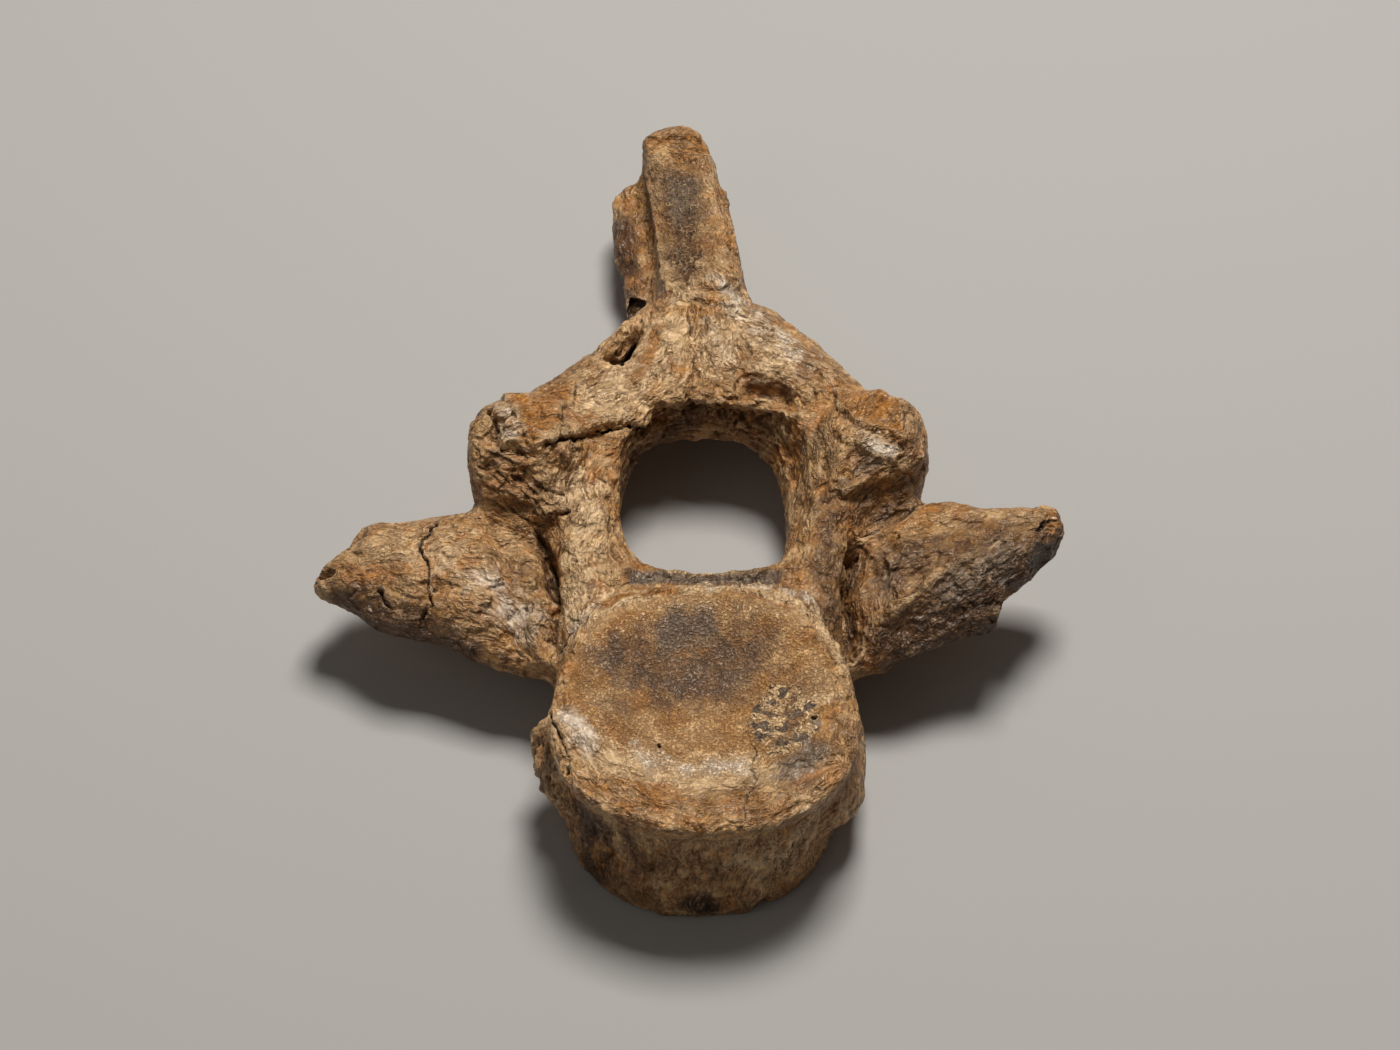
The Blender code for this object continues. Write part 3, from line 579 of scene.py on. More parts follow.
PLAIN_ROUGHNESS = 0.5
ROUGH = [
    # left knob: the flaky slope and the worn lump above it
    ([(-24.5, 37.5, 17.5), (-21, 36, 18), (-18.5, 34, 15.5)], 5, 0.9),
    ([(-23.4, 40.5, 20.5), (-22.2, 38.6, 21.2)], 3, 0.6),
    # right knob
    ([(17, 35, 17), (22, 36, 19), (26, 38, 18)], 4, 0.3),
    ([(19, 31, 15), (25, 34, 15)], 4, -0.25),
    # wings
    ([(-43, 23, 13), (-34, 19, 13), (-25, 16, 12)], 5, -0.15),
    ([(42, 29, 15), (33, 24, 16), (22, 19, 14)], 7, 0.1),
    # side of the drum
    ([(-19.3, 2, 10.5), (-18, -2.4, 11.5), (-15.7, -7.1, 9.7)], 4, 1.4),
    ([(-12, -12, 8), (0, -16, 8), (12, -12, 8)], 7, 0.5),
    # canal roof
    ([(-10, 45, 12), (0, 50, 12), (9, 47, 12)], 6, 1.2),
    # spine
    ([(-9.5, 86, 9), (-9, 70, 9)], 5, -0.3),
    ([(-2.4, 79, 15.5), (-1.6, 69, 16.6)], 5, 0.5),
    ([(-2, 95, 14)], 5, 0.6),
    ([(8, 58, 15.5), (14, 51, 15)], 5, 0.5),
]


def roughness_of_form(bone, face):
    """How strongly flakes and fibres stand out at each point."""
    rough = np.full(len(bone.points), PLAIN_ROUGHNESS, np.float32)
    for path, radius, amount in ROUGH:
        rough += bone.weight(path, radius) * amount
    return rough * (1 - 0.85 * face)


# Forms of the relief: size, for some the length along the grain, and a seed
LUMP = (5.5, 11)
SMALL_LUMP = (2.4, 12)
PLATE = (1.1, 5, 13)
CREVICE = (0.7, 3.2, 14)
FIBRE = (0.55, 1.4, 15)
PIT = (0.75, 16)
SEAT_LUMP = (1.3, 18)
CHIP = (2.4, 19)


def relief(bone, grain):
    """Lumps, flakes and fibres over the whole bone. Returns where the crevices and the feet of the flake
    steps are, which the material darkens with painted shade.
    """
    face = on_front_face(bone)
    seat = on_seat(bone)
    rough = roughness_of_form(bone, face)
    places = drift(bone.points, 2.2, 0.5, 5)
    lumps = 0.18 * noise(places, *LUMP) + 0.13 * noise(places, *SMALL_LUMP)
    plates, foot = flaked(1.4 * streaks(places, grain, *PLATE))
    fibres = streaks(places, grain, *FIBRE)
    crevice = 1 - ramp(np.abs(streaks(places, grain, *CREVICE)), 0.03, 0.30)
    crevice *= ramp(noise(places, 3, 17), -0.1, 0.4)
    pits = ramp(noise(bone.points, *PIT), 0.15, 0.5)
    height = lumps * (1 - 0.6 * face) * np.clip(0.4 + rough, 0.5, 1)
    height += (0.085 * plates + 0.05 * fibres - 0.12 * crevice) * rough
    height += 0.08 * chips(places, *CHIP) * np.minimum(rough, 1.5)
    height += 0.15 * noise(places, *SEAT_LUMP) * seat - 0.06 * pits * np.maximum(face, seat)
    bone.lift(height)
    return np.maximum(0.4 * crevice, 0.5 * foot) * np.minimum(rough, 1.2)


# Clefts: (path, width, depth), and a direction if it isn't straight down

CRACKS = [
    # left knob: the side of the plate
    ([(-15.6, 50.6, 16.8), (-16.1, 47, 18.4), (-16.6, 44.1, 20.6), (-17.2, 41, 21.5), (-17.9, 38.2, 21.7)],
     0.35, 0.3),
    # the split under the loose edge of the left slope
    ([(-17.6, 38, 21.6), (-16.4, 38.8, 21.2), (-14.6, 41.6, 18.6)], 0.3, 0.9, (0, 0.5, -0.85)),
    ([(-14.6, 41.6, 18.6), (-12.3, 44.4, 16.4), (-9.8, 44.8, 16.2), (-7.4, 46.8, 14.4), (-4.4, 49.2, 13.6)],
     0.34, 1.2, (0, 0.6, -0.8)),
    # left pillar
    ([(-19.7, 31.3, 12.6), (-18.7, 31.4, 13.5), (-17.8, 31, 14.9), (-16.9, 31, 15.9), (-15.9, 31.4, 16.5)],
     0.32, 0.8, (0, 0.5, -0.85)),
    ([(-14, 13.6, 16.5), (-16, 12.6, 14.8), (-17.3, 12, 10.5)], 0.3, 0.6),
    # left wing
    ([(-31.5, 31, 14.5), (-33.6, 28.5, 15), (-33.8, 26.6, 15.2), (-32.4, 24.6, 15.2), (-32.4, 21.4, 15),
      (-31.9, 18.8, 14), (-33.5, 17.6, 12.6)], 0.28, 0.8),
    ([(-38.6, 21.4, 14.2), (-37.8, 19.8, 13.6), (-35.6, 18, 12.4)], 0.3, 0.8),
    # right knob and wing
    ([(19.3, 29.5, 13.9), (22.4, 31.3, 14.5), (25.5, 33, 14.8), (27.6, 35.1, 13.7)], 0.32, 0.9),
    ([(38.8, 27.3, 17.4), (40.6, 28.5, 16.8), (42.9, 30.5, 16.3)], 0.26, 0.5),
    # front face and its rim
    ([(5.3, -1, 15.9), (6.3, -5, 16.2), (6.2, -10.2, 16.8), (4.8, -15, 17.5)], 0.22, 0.32),
    ([(-17.2, 0, 17.2), (-16.4, -3.1, 17.5), (-15.3, -6, 17.5), (-15, -8.8, 16.9)], 0.3, 0.7,
     (0.3, 0.2, -0.9)),
    # arch
    ([(5.4, 60.8, 16.5), (6.4, 57.4, 16.4)], 0.25, 0.32),
    ([(-1.4, 63, 16.9), (-1, 58.7, 17), (-0.9, 54.5, 16.3)], 0.3, 0.35),
    # spine: round the lobe and beside the seat
    ([(-2, 66.4, 17.1), (1.2, 64.8, 17.4), (3.9, 64.3, 17.4), (5.4, 68, 15)], 0.28, 0.25),
]

HOLES = [
    # outline, depth, direction: beside the left slope, and at the foot of the rib
    ([(-11.1, 57.3), (-9.9, 54.9), (-9, 58.4), (-7.9, 61.6), (-8.7, 61), (-9.8, 59.2)], 4,
     (0, 0.64, -0.77)),
    ([(-9.8, 72.6), (-9.2, 73.6), (-7.7, 73), (-7, 71.8), (-7, 69.8), (-8.4, 69.2), (-9.7, 70.4)], 1.8,
     (0, 0.64, -0.77)),
]

PITS = [
    # place, radius, depth
    ((13.3, -0.5, 17.7), 0.42, 0.9),
    ((-4.7, -3.4, 15.9), 0.35, 0.7),
    ((12, -3.2, 17.5), 0.28, 0.5),
    ((-23.1, 37.4, 21.4), 0.5, 0.6),
    ((-20.2, 45.3, 20.9), 0.3, 0.4),
    ((-0.9, 64.1, 16.6), 0.45, 0.8),
    ((-31.5, 20.4, 15.1), 0.4, 0.7),
]


def cracks_and_pits(bone):
    """The named clefts and pits. Returns 1 inside them."""
    dark = np.zeros(len(bone.points), np.float32)
    for path, width, depth, *towards in CRACKS:
        dark = np.maximum(dark, bone.crack(path, width, depth, *towards))
    for outline, depth, towards in HOLES:
        dark = np.maximum(dark, bone.hole(outline, depth, towards))
    for place, radius, depth in PITS:
        dark = np.maximum(dark, bone.crack([place], radius, depth))
    return dark


# Stains, and painted shade and light laid on as stains are: (path, radius, amount)

CREAM = [
    (FACE_RIM, 1.8, 1),
    ([(-12.1, 16.5, 16.8), (-10.4, 18, 16.6), (-4.2, 19.2, 16.6), (0, 18.8, 17), (7.7, 19.4, 16.3),
      (13.6, 15.1, 16.8), (16.9, 6.3, 17.5)], 1, 1.2),
    ([(-15, 12.1, 15.8), (-13.6, 13.7, 16.7), (-11.8, 17.1, 16.8)], 1.6, 1.2),
    ([(-3, 22.6, 15.8), (3.6, 22.6, 15.8)], 1, 1),
    # painted light: the lower band of the dished face, lighter where it tilts towards the light
    ([(-12, -6.6, 17.4), (-5.7, -6.4, 16.4), (0, -7.6, 16), (5.7, -6.8, 16.4)], 4.8, 1),
    ([(-14.6, 12, 16.4), (-15, 20, 16.5), (-14, 30, 16.8), (-15, 36, 17.5)], 5, 0.8),
    ([(-12, 49, 16.5), (-8, 53, 16.5), (-4, 60, 16.5)], 6.5, 1.1),
    ([(3, -16.8, 10), (9, -15.4, 8), (12.4, -12.6, 9)], 3.6, 0.7),
    ([(2, 56, 16), (5, 62, 16.5), (10, 56, 16)], 5.5, 0.8),
    ([(-2, 66, 17), (-4.6, 72, 15.2)], 3.6, 0.7),
    # painted sheen at the root of the left wing
    ([(-22, 19.5, 13.8), (-20.5, 15.5, 12.8)], 4, 0.5),
    ([(-36, 28, 15), (-28, 27, 15)], 5, 0.6),
    ([(9, 3, 16.8), (12.5, 0.5, 17.4), (15.5, 3, 17.4)], 3.2, 0.5),
]
ORANGE = [
    ([(31, 32.5, 14), (27.5, 32.6, 15)], 3.4, 0.8),
    ([(43, 30.5, 16)], 3, 0.7),
    ([(-1.5, 95, 14)], 5, 0.9),
    ([(2.6, 90, 13), (4.4, 82, 11)], 2.4, 1),
    ([(-14, -9, 16.5), (-8, -13.8, 16.6), (0, -16, 16.8), (8, -14, 16.6), (14, -9, 16.5)], 2.6, 0.5),
    ([(-26, 24, 15.2), (-24, 21, 14.6)], 3.2, 0.5),
    ([(-35, 30, 13.6), (-30, 31, 13.8)], 3.4, 0.45),
    ([(-8, -14.5, 8), (-12, -11, 5)], 4, 0.5),
    ([(-11.4, -9.4, 17.6), (-6.8, -11.4, 17.2), (0, -12.2, 16.8), (5.7, -11.2, 16.9)], 2.4, 0.35),
    ([(-12.3, 15.8, 16.7), (-9.7, 17.6, 16.6), (-6.5, 18.4, 16.8), (-3, 18.2, 17.2)], 1.2, 0.8),
    ([(-24, 35.5, 17.5), (-20, 34, 16)], 3.5, 0.4),
    ([(-5.5, 60, 16.6), (-7.5, 54, 16.6)], 3.6, 0.45),
    ([(-15, 8, 16), (-15.4, 2, 16.4), (-14, 12, 16.2)], 3, 0.5),
    ([(-9.5, 82, 9), (-9, 74, 9)], 4, 0.4),
]
GREY = [
    ([(-3.5, 12, 17), (0, 13.5, 17.2)], 4.5, 0.9),
    ([(-6, 8, 16), (5, 8, 16)], 9.5, 0.5),
    ([(-7.6, 21.2, 16), (-4.8, 21.4, 16.1), (-0.2, 20.8, 16.3)], 1.9, 1.1),
    ([(1, 20.8, 16.5), (3.6, 21.4, 16), (8.1, 21.4, 16)], 1.9, 1.1),
    ([(-12, 8, 16.2), (-9, 2, 15.8)], 6, 0.5),
    ([(6, 9, 16.2), (12.5, 4, 16.8)], 5.5, 0.4),
    ([(-3, 14.6, 17.4), (-4, 10.6, 16.9), (-1, 10.6, 16.8)], 2.6, 0.9),
    ([(-2.6, 87, 15.4), (-1.4, 83, 15.8)], 4.6, 0.75),
    ([(4, 67, 16.6), (9, 61, 15.8), (16, 54, 15)], 3.4, 0.5),
    ([(8, 60, 15.5), (13, 54.5, 15)], 4.5, 0.75),
    ([(30, 20, 15.5), (36, 24, 17)], 4, 0.7),
    ([(22.5, 20.5, 13.5), (25, 25, 14.5)], 4, 0.5),
    ([(19.6, 36, 18.8), (23.2, 37.6, 20.4)], 2.4, 0.8),
    ([(-23.4, 40.5, 20.5), (-22.2, 38.6, 21.2)], 2, 0.7),
    ([(9, -8.2, 17.1), (13.5, -5.4, 17.6), (12, -9.6, 17.6)], 3, 0.9),
    ([(1, 60, 16.8), (3.5, 56, 16.4), (9, 55, 15.8)], 4, 0.5),
]
# Scraped and worn bone, with painted highlights on the dished face and the left wing
WHITE = [
    ([(-15.2, -1.4, 17.7), (-13, -5, 17.6)], 3.2, 1),
    # painted highlights on the lower part of the dished face
    ([(-5.6, -4.6, 16.2), (-3.2, -5.6, 15.9)], 2.2, 0.75),
    ([(2, -6, 15.8), (5.4, -7.4, 16.2)], 2, 0.6),
    # painted highlight on the left wing
    ([(-25.4, 21.4, 15), (-22.6, 18.3, 13.7), (-20.6, 16.6, 12.4)], 4, 0.8),
    ([(-30, 22.4, 15.4), (-27, 20.4, 15.4)], 3, 0.45),
    # painted highlights on the lower part of the dished face
    ([(-7.4, -4.8, 16.4), (-4.6, -6.5, 16.1)], 2.6, 0.9),
    ([(-1.1, -6.6, 15.8), (4.6, -6.6, 16)], 2.4, 0.9),
    ([(0.8, 18.6, 17), (8.9, 20, 16.2), (13.3, 17.3, 16.9)], 1.3, 0.75),
    ([(-15.1, 13.2, 16), (-12.5, 16.3, 16.8)], 1.4, 0.95),
    ([(0.5, 62, 17), (4, 57, 16.4)], 2.6, 0.4),
    ([(2.6, 68, 16.8), (7, 62, 16.2), (13, 56, 15.4)], 3.6, 0.7),
    ([(17.6, 35.2, 18.4)], 1.8, 0.5),
]
MOTTLED = [
    ([(-7.5, 21.4, 16.2), (0, 20.8, 16.2), (8, 20.9, 16)], 1, 0.6),
]
# Mostly painted shade: on the drum, under the wings, in the clefts at the wing roots, in the holes and
# under the canal roof.
# On the seat, the dished face and the top of the right wing it is partly the bone's own darker colour.
DARK = [
    # the middle of the dished face: darker colour and painted shade
    ([(-9, 9, 16.6), (-5, 6.4, 16), (0, 5.6, 15.2), (4, 10, 16)], 7, 0.85),
    ([(-4, 13.5, 16.8), (8, 13, 16.8)], 4, 0.5),
    # painted shadow in the clefts at the wing roots
    ([(-20, 30, 12.4), (-18.4, 25, 12), (-17.8, 19, 12)], 2.2, 1),
    ([(18.4, 25, 11.5), (18, 19, 11), (17.8, 14, 10.5)], 2.4, 0.9),
    # painted shade on the front of the drum
    ([(-8, -15, 6), (-4, -15.8, 10)], 3.4, 0.6),
    ([(3, -16, 5), (1, -16, 9)], 2.6, 0.5),
    # painted shade on the lower side of the right wing
    ([(24, 15, 11), (30, 17, 13), (36, 20.5, 14.4), (42, 26, 14)], 7.5, 1.35),
    ([(22, 24, 14.4), (30, 25, 16.5), (39, 27, 16.5)], 6.5, 0.75),
    ([(3.4, 88, 12.5), (4.6, 80, 12), (6.4, 72, 12)], 3, 0.9),
    ([(-15, -9, 5), (-8, -14, 4)], 6, 0.6),
    ([(15.4, 14, 16), (15.4, 27, 16.5), (16, 32, 17)], 4.5, 0.75),
    ([(-10.8, 86, 8.9), (-9.8, 76, 8.4)], 4.5, 1.2),
    # painted shade under the left wing
    ([(-42, 21, 11), (-36, 18, 11), (-28, 14, 9.5)], 5.5, 1),
    ([(-25.5, 36, 17.5), (-21.8, 34.4, 17), (-18.8, 33.6, 15.4)], 3.4, 0.75),
    # painted shade under the rim of the canal roof
    ([(-1.2, 50.1, 12), (-4.4, 49.2, 9.2), (-8, 46, 9), (-9.6, 40, 9)], 3.6, 0.8),
    ([(20, 32, 15), (27, 35, 15.5)], 4, 0.7),
    ([(17.2, 40, 18), (16.2, 34, 17), (16.6, 28, 14.5)], 3, 0.5),
    ([(-1.8, 76, 16), (-2, 69, 16.6)], 3.4, 0.9),
    ([(-8, 21.6, 16), (9, 21.6, 16)], 2.2, 0.9),
    # painted shade under both wings
    ([(25, 12, 9), (31, 14, 10), (36, 18, 11), (41, 24, 12)], 6.5, 1.5),
    ([(-42, 19, 9), (-36, 16, 9), (-28, 12.5, 8)], 5.5, 1.5),
    # painted shade on the drum
    ([(-13, -10, 10), (-12, -11, 3)], 5, 1.4),
    ([(6.4, 52.4, 15.6), (10, 51.4, 15.4)], 2.2, 0.8),
    ([(-18.6, -3, 9)], 3.5, 0.6),
    # painted shade in the hole beside the left slope
    ([(-10.8, 57, 14), (-9.4, 58.8, 12.6), (-8.4, 60.8, 13)], 1.1, 1.4),
    ([(-9.5, -14.5, 12), (-7, -15.5, 8)], 3, 1.2),
    ([(-1, -16.9, 3), (1, -16.9, 2)], 2.6, 1.3),
    ([(-2.8, 88, 15.4), (-1.8, 71, 16.2)], 4.4, 1),
    # painted shade in the slot at the foot of the rib
    ([(-9.4, 72, 8), (-7.4, 68.6, 12)], 2.2, 0.8),
    # painted shade inside the canal roof
    ([(0, 50.5, 8), (-6, 48, 8), (7, 48, 8)], 4, 0.5),
    ([(9.4, -9.4, 17.2), (12.4, -10.4, 17)], 2, 0.6),
]


OUTLINE_STRENGTH = 0.75
OUTLINE_EDGE = 0.35


def cover_of_stain_and_light(bone, strokes, *outlines):
    """How strongly a stain, painted shade or painted light covers each point: soft along the strokes, crisp
    in the outlines.
    """
    cover = np.zeros(len(bone.points), np.float32)
    for outline in outlines:
        cover = np.maximum(cover, OUTLINE_STRENGTH * bone.inside(outline, OUTLINE_EDGE))
    for path, radius, amount in strokes:
        cover = np.maximum(cover, bone.weight(path, radius) * amount)
    return cover


def worked_surface(node, low, high):
    """The surface after all the strokes, the grain, and where the clefts are, which the material darkens
    with painted shade.
    """
    bone = Surface(fine_mesh(node))
    broad_forms(bone)
    grain = grain_at(bone.points, bone.normals)
    clefts = cracks_and_pits(bone)
    bone.settle()
    crevices = relief(bone, grain)
    np.clip(bone.points, low, high, out=bone.points)
    bone.settle()
    return bone, grain, np.maximum(clefts, crevices)


def write_looks(bone, grain, clefts):
    """Writes what the material reads at the points of the mesh, three numbers to a name."""
    none = np.zeros(len(bone.points))
    orange = cover_of_stain_and_light(bone, ORANGE, LEFT_PLATE, RIGHT_PLATE)
    white = cover_of_stain_and_light(bone, WHITE, WORN_BAND, WORN_LUMP)
    looks = {
        "grain": grain.T,
        "stain_and_light_a": (cover_of_stain_and_light(bone, CREAM), orange, cover_of_stain_and_light(bone, GREY)),
        "stain_shade_and_light_b": (white, cover_of_stain_and_light(bone, DARK), cover_of_stain_and_light(bone, MOTTLED, CRUST)),
        "relief": (clefts, hollowness(bone, DIP_ROUNDS), hollowness(bone, HOLLOW_ROUNDS)),
        "places": (on_front_face(bone), on_seat(bone), none),
    }
    for name, values in looks.items():
        layer = bone.mesh.attributes.new(name, "FLOAT_VECTOR", "POINT")
        layer.data.foreach_set("vector", np.stack(values, axis=1).astype(np.float32).ravel())


def make_bone():
    """The bone as one mesh, worked, stained, given painted shade and light, and thinned, in place of the
    solid.
    """
    low, high = np.array(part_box("vertebra")) / MM
    surface, grain, clefts = worked_surface(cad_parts["vertebra"], low, high)
    write_looks(surface, grain, clefts)
    mesh = thinned(surface.mesh, MOST_TRIANGLES)
    keep_inside(mesh, low, high)
    mesh.name = "bone"
    mesh.transform(Matrix.Scale(MM, 4))
    mesh.shade_smooth()
    mesh.materials.clear()
    mesh.materials.append(bone_material())
    bone = placed("bone", mesh)
    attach(bone, "root")
    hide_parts("vertebra")


# The material

MIDDLE = (0.5, 0.5, 0.5)  # the middle of a noise colour
STREAK_STEPS = 6


class Net:
    """Short forms for adding and joining the nodes of a material."""

    def __init__(self, material):
        material.use_nodes = True
        self.nodes = material.node_tree.nodes
        self.links = material.node_tree.links
        self.shader = self.nodes["Principled BSDF"]

    def plug(self, socket, value):
        if isinstance(value, bpy.types.NodeSocket):
            self.links.new(value, socket)
        elif isinstance(value, tuple) and len(socket.default_value) == 4:
            socket.default_value = (*value, 1)
        else:
            socket.default_value = value

    def add(self, kind, inputs=(), **settings):
        """Adds a node, with what goes into its sockets by name or number. Gives its outputs."""
        node = self.nodes.new("ShaderNode" + kind)
        for name, value in settings.items():
            setattr(node, name, value)
        for socket, value in dict(inputs).items():
            self.plug(node.inputs[socket], value)
        return node.outputs

    def math(self, operation, *values, clamp=False):
        return self.add("Math", enumerate(values), operation=operation, use_clamp=clamp)[0]

    def times(self, first, second):
        return self.math("MULTIPLY", first, second)

    def line(self, value, slope, start):
        """The start plus the slope times the value."""
        return self.math("MULTIPLY_ADD", value, slope, start)

    def vector(self, operation, *values):
        return self.add("VectorMath", enumerate(values), operation=operation)[0]

    def scaled(self, vector, factor):
        return self.add("VectorMath", {0: vector, "Scale": factor}, operation="SCALE")[0]

    def noise(self, vector, size, detail=0, colour=False):
        """Noise with lumps of the given size, where the vector is in millimetres."""
        inputs = {"Vector": vector, "Scale": 1 / size, "Detail": detail}
        return self.add("TexNoise", inputs)["Color" if colour else "Fac"]

    def ramp(self, value, low, high):
        """0 at low and 1 at high, with smooth ends."""
        inputs = {"Value": value, "From Min": low, "From Max": high}
        return self.add("MapRange", inputs, interpolation_type="SMOOTHSTEP")["Result"]

    def band(self, value, low, high):
        """1 midway between low and high, 0 outside them."""
        middle = 0.5 * (low + high)
        rise = self.ramp(value, low, middle)
        return self.math("SUBTRACT", rise, self.ramp(value, middle, high))

    def mix(self, factor, first, second, blend="MIX"):
        """Two colours mixed: the node takes them at 6 and 7."""
        inputs = {0: factor, 6: first, 7: second}
        return self.add("Mix", inputs, data_type="RGBA", blend_type=blend)[2]

    def blend(self, factor, first, second):
        """Two numbers mixed."""
        return self.add("Mix", {0: factor, 2: first, 3: second})[0]

    def tinted(self, colour, *tints):
        """The colour with tints laid over it, each given as where it is, its strength and itself."""
        for where, strength, tint in tints:
            colour = self.mix(self.times(where, strength), colour, tint)
        return colour

    def patches(self, place, size, detail, low, high, shift=None):
        """1 in patches of about the given size. A shift sets one kind apart from the others."""
        if shift:
            place = self.vector("ADD", place, shift)
        return self.ramp(self.noise(place, size, detail), low, high)

    def flaked(self, value, levels):
        """Flat flakes with steps between them, the foot of each step and the edge over it."""
        steps = self.times(value, levels)
        part = self.math("FRACT", steps)
        rise = self.line(self.ramp(part, 0.55, 0.85), 0.8, self.math("FLOOR", steps))
        height = self.times(self.line(part, 0.2, rise), 1 / levels)
        return height, self.band(part, 0.38, 0.74), self.band(part, 0.74, 1)

    def attribute(self, name):
        """A vector held at the points of the mesh, and its three parts."""
        vector = self.add("Attribute", attribute_name=name)["Vector"]
        return vector, self.add("SeparateXYZ", {0: vector})

    def pushed(self, place, size, reach):
        """The place, pushed about by noise with lumps of the given size."""
        push = self.vector("SUBTRACT", self.noise(place, size, 1, colour=True), MIDDLE)
        return self.vector("ADD", place, self.scaled(push, reach))

    def chips(self, place, size):
        """Flat chips, each with its own tilt and shade. Gives their height and the shade."""
        cells = self.add("TexVoronoi", {"Vector": place, "Scale": 1 / size})
        lean = self.vector("SUBTRACT", cells["Color"], MIDDLE)
        away = self.vector("SUBTRACT", place, cells["Position"])
        height = self.add("VectorMath", {0: lean, 1: away}, operation="DOT_PRODUCT")["Value"]
        return height, self.add("SeparateColor", {0: cells["Color"]})[0]

    def streaks(self, place, grain, size, length):
        """Noise drawn out along the grain."""
        total = None
        for i in range(STREAK_STEPS):
            shift = length * (i / (STREAK_STEPS - 1) - 0.5)
            value = self.noise(self.vector("ADD", place, self.scaled(grain, shift)), size)
            total = value if total is None else self.math("ADD", total, value)
        return self.times(total, 1 / STREAK_STEPS)


TAN = (0.48, 0.243, 0.08)
PALE_TAN = (0.64, 0.395, 0.185)
BROWN = (0.15, 0.068, 0.024)
UMBER = (0.036, 0.015, 0.005)
RUST = (0.46, 0.18, 0.04)
DRAB = (0.27, 0.15, 0.07)
ASH = (0.215, 0.155, 0.11)
CHALK = (0.8, 0.67, 0.54)
CRUST_LINES = (0.05, 0.034, 0.026)
IVORY = (0.77, 0.53, 0.295)
AMBER = (0.43, 0.172, 0.028)
SHADE = (0.33, 0.225, 0.135)  # what the low side of a fibre or grain keeps of its colour
# what lightens the high side of a fibre or grain (a painted highlight), the lighter chips and the face
LIGHTER = (1.28, 1.28, 1.26)

# Sizes of the material's patterns, in millimetres
WAVES = (1.6, 1)  # size and reach of the broad bends in the fibres
CURLS = (0.45, 0.45)  # and of the fine ones
ISLAND_CURLS = (0.8, 0.8)
FINE_FIBRE = (0.34, 1.2)  # size across and length along the grain
STRAND = (0.7, 2.4)
FLAKE_LEVELS = 13
BIG_CHIP = 1.5
SMALL_CHIP = 0.6
ISLAND = 1.1
WORM = 1
CURL = 0.6


class Patterns:
    """What varies over the bone, by name."""


def fine_grain(net, p, place, curly, grain):
    """The height of the finest grain: fibres, or grit and curls on the face and the seat."""
    fibres = net.ramp(net.streaks(curly, grain, *FINE_FIBRE), 0.4, 0.6)
    grit = net.patches(place, 0.36, 2, 0.38, 0.62)
    curls = net.band(net.noise(curly, CURL, 1), 0.44, 0.56)
    level = net.blend(p.plain, net.blend(0.2, fibres, curls), net.blend(0.55, grit, curls))
    calm = net.patches(place, 2.6, 2, 0.46, 0.66, (30, 0, 30))
    return net.blend(net.times(calm, net.times(p.bony, 0.6)), level, 0.8)


def patterns(net):
    """What the mesh of the bone holds, and the fine patterns of the material."""
    p = Patterns()
    grain, _ = net.attribute("grain")
    _, (p.cream, p.orange, p.grey) = net.attribute("stain_and_light_a")
    _, (p.white, p.dark, p.mottled) = net.attribute("stain_shade_and_light_b")
    _, (p.cleft, p.dip, p.hollow) = net.attribute("relief")
    _, (p.face, seat, _) = net.attribute("places")
    place = net.scaled(net.add("TexCoord")["Object"], 1 / MM)
    wavy = net.pushed(place, *WAVES)
    curly = net.pushed(wavy, *CURLS)

    p.plain = net.math("MAXIMUM", p.face, net.times(seat, 0.8))
    p.bony = net.math("SUBTRACT", 1, p.plain)
    p.level = fine_grain(net, p, place, curly, grain)
    p.worn = net.patches(place, 3, 2, 0.38, 0.56, (0, 0, 50))
    p.flakes, foot, edge = net.flaked(net.streaks(wavy, grain, *STRAND), FLAKE_LEVELS)
    flaky = net.times(p.bony, p.worn)
    p.foot = net.times(foot, flaky)
    p.edge = net.times(edge, flaky)
    p.tilt, p.shade = net.chips(curly, BIG_CHIP)
    p.small_tilt, p.small_shade = net.chips(curly, SMALL_CHIP)
    _, p.island = net.chips(net.pushed(wavy, *ISLAND_CURLS), ISLAND)
    p.worms = net.band(net.noise(wavy, WORM, 1), 0.44, 0.54)
    p.crackle = net.times(seat, p.worms)
    p.blotch = net.patches(wavy, 2.4, 3, 0.42, 0.6)
    p.tone = net.patches(wavy, 4, 4, 0.4, 0.6)
    p.rusty = net.patches(wavy, 3.6, 4, 0.5, 0.62, (40, 0, 0))
    p.drab = net.patches(place, 6, 3, 0.5, 0.62, (0, 60, 0))
    return p


def bare_colour(net, p):
    """Bone without stains: tan, with pale, rusty and drab patches. The face has less rust."""
    rusty = net.times(p.rusty, net.line(p.face, -0.62, 0.7))
    return net.tinted(TAN, (p.tone, 1, PALE_TAN), (rusty, 1, RUST), (p.drab, 0.5, DRAB))


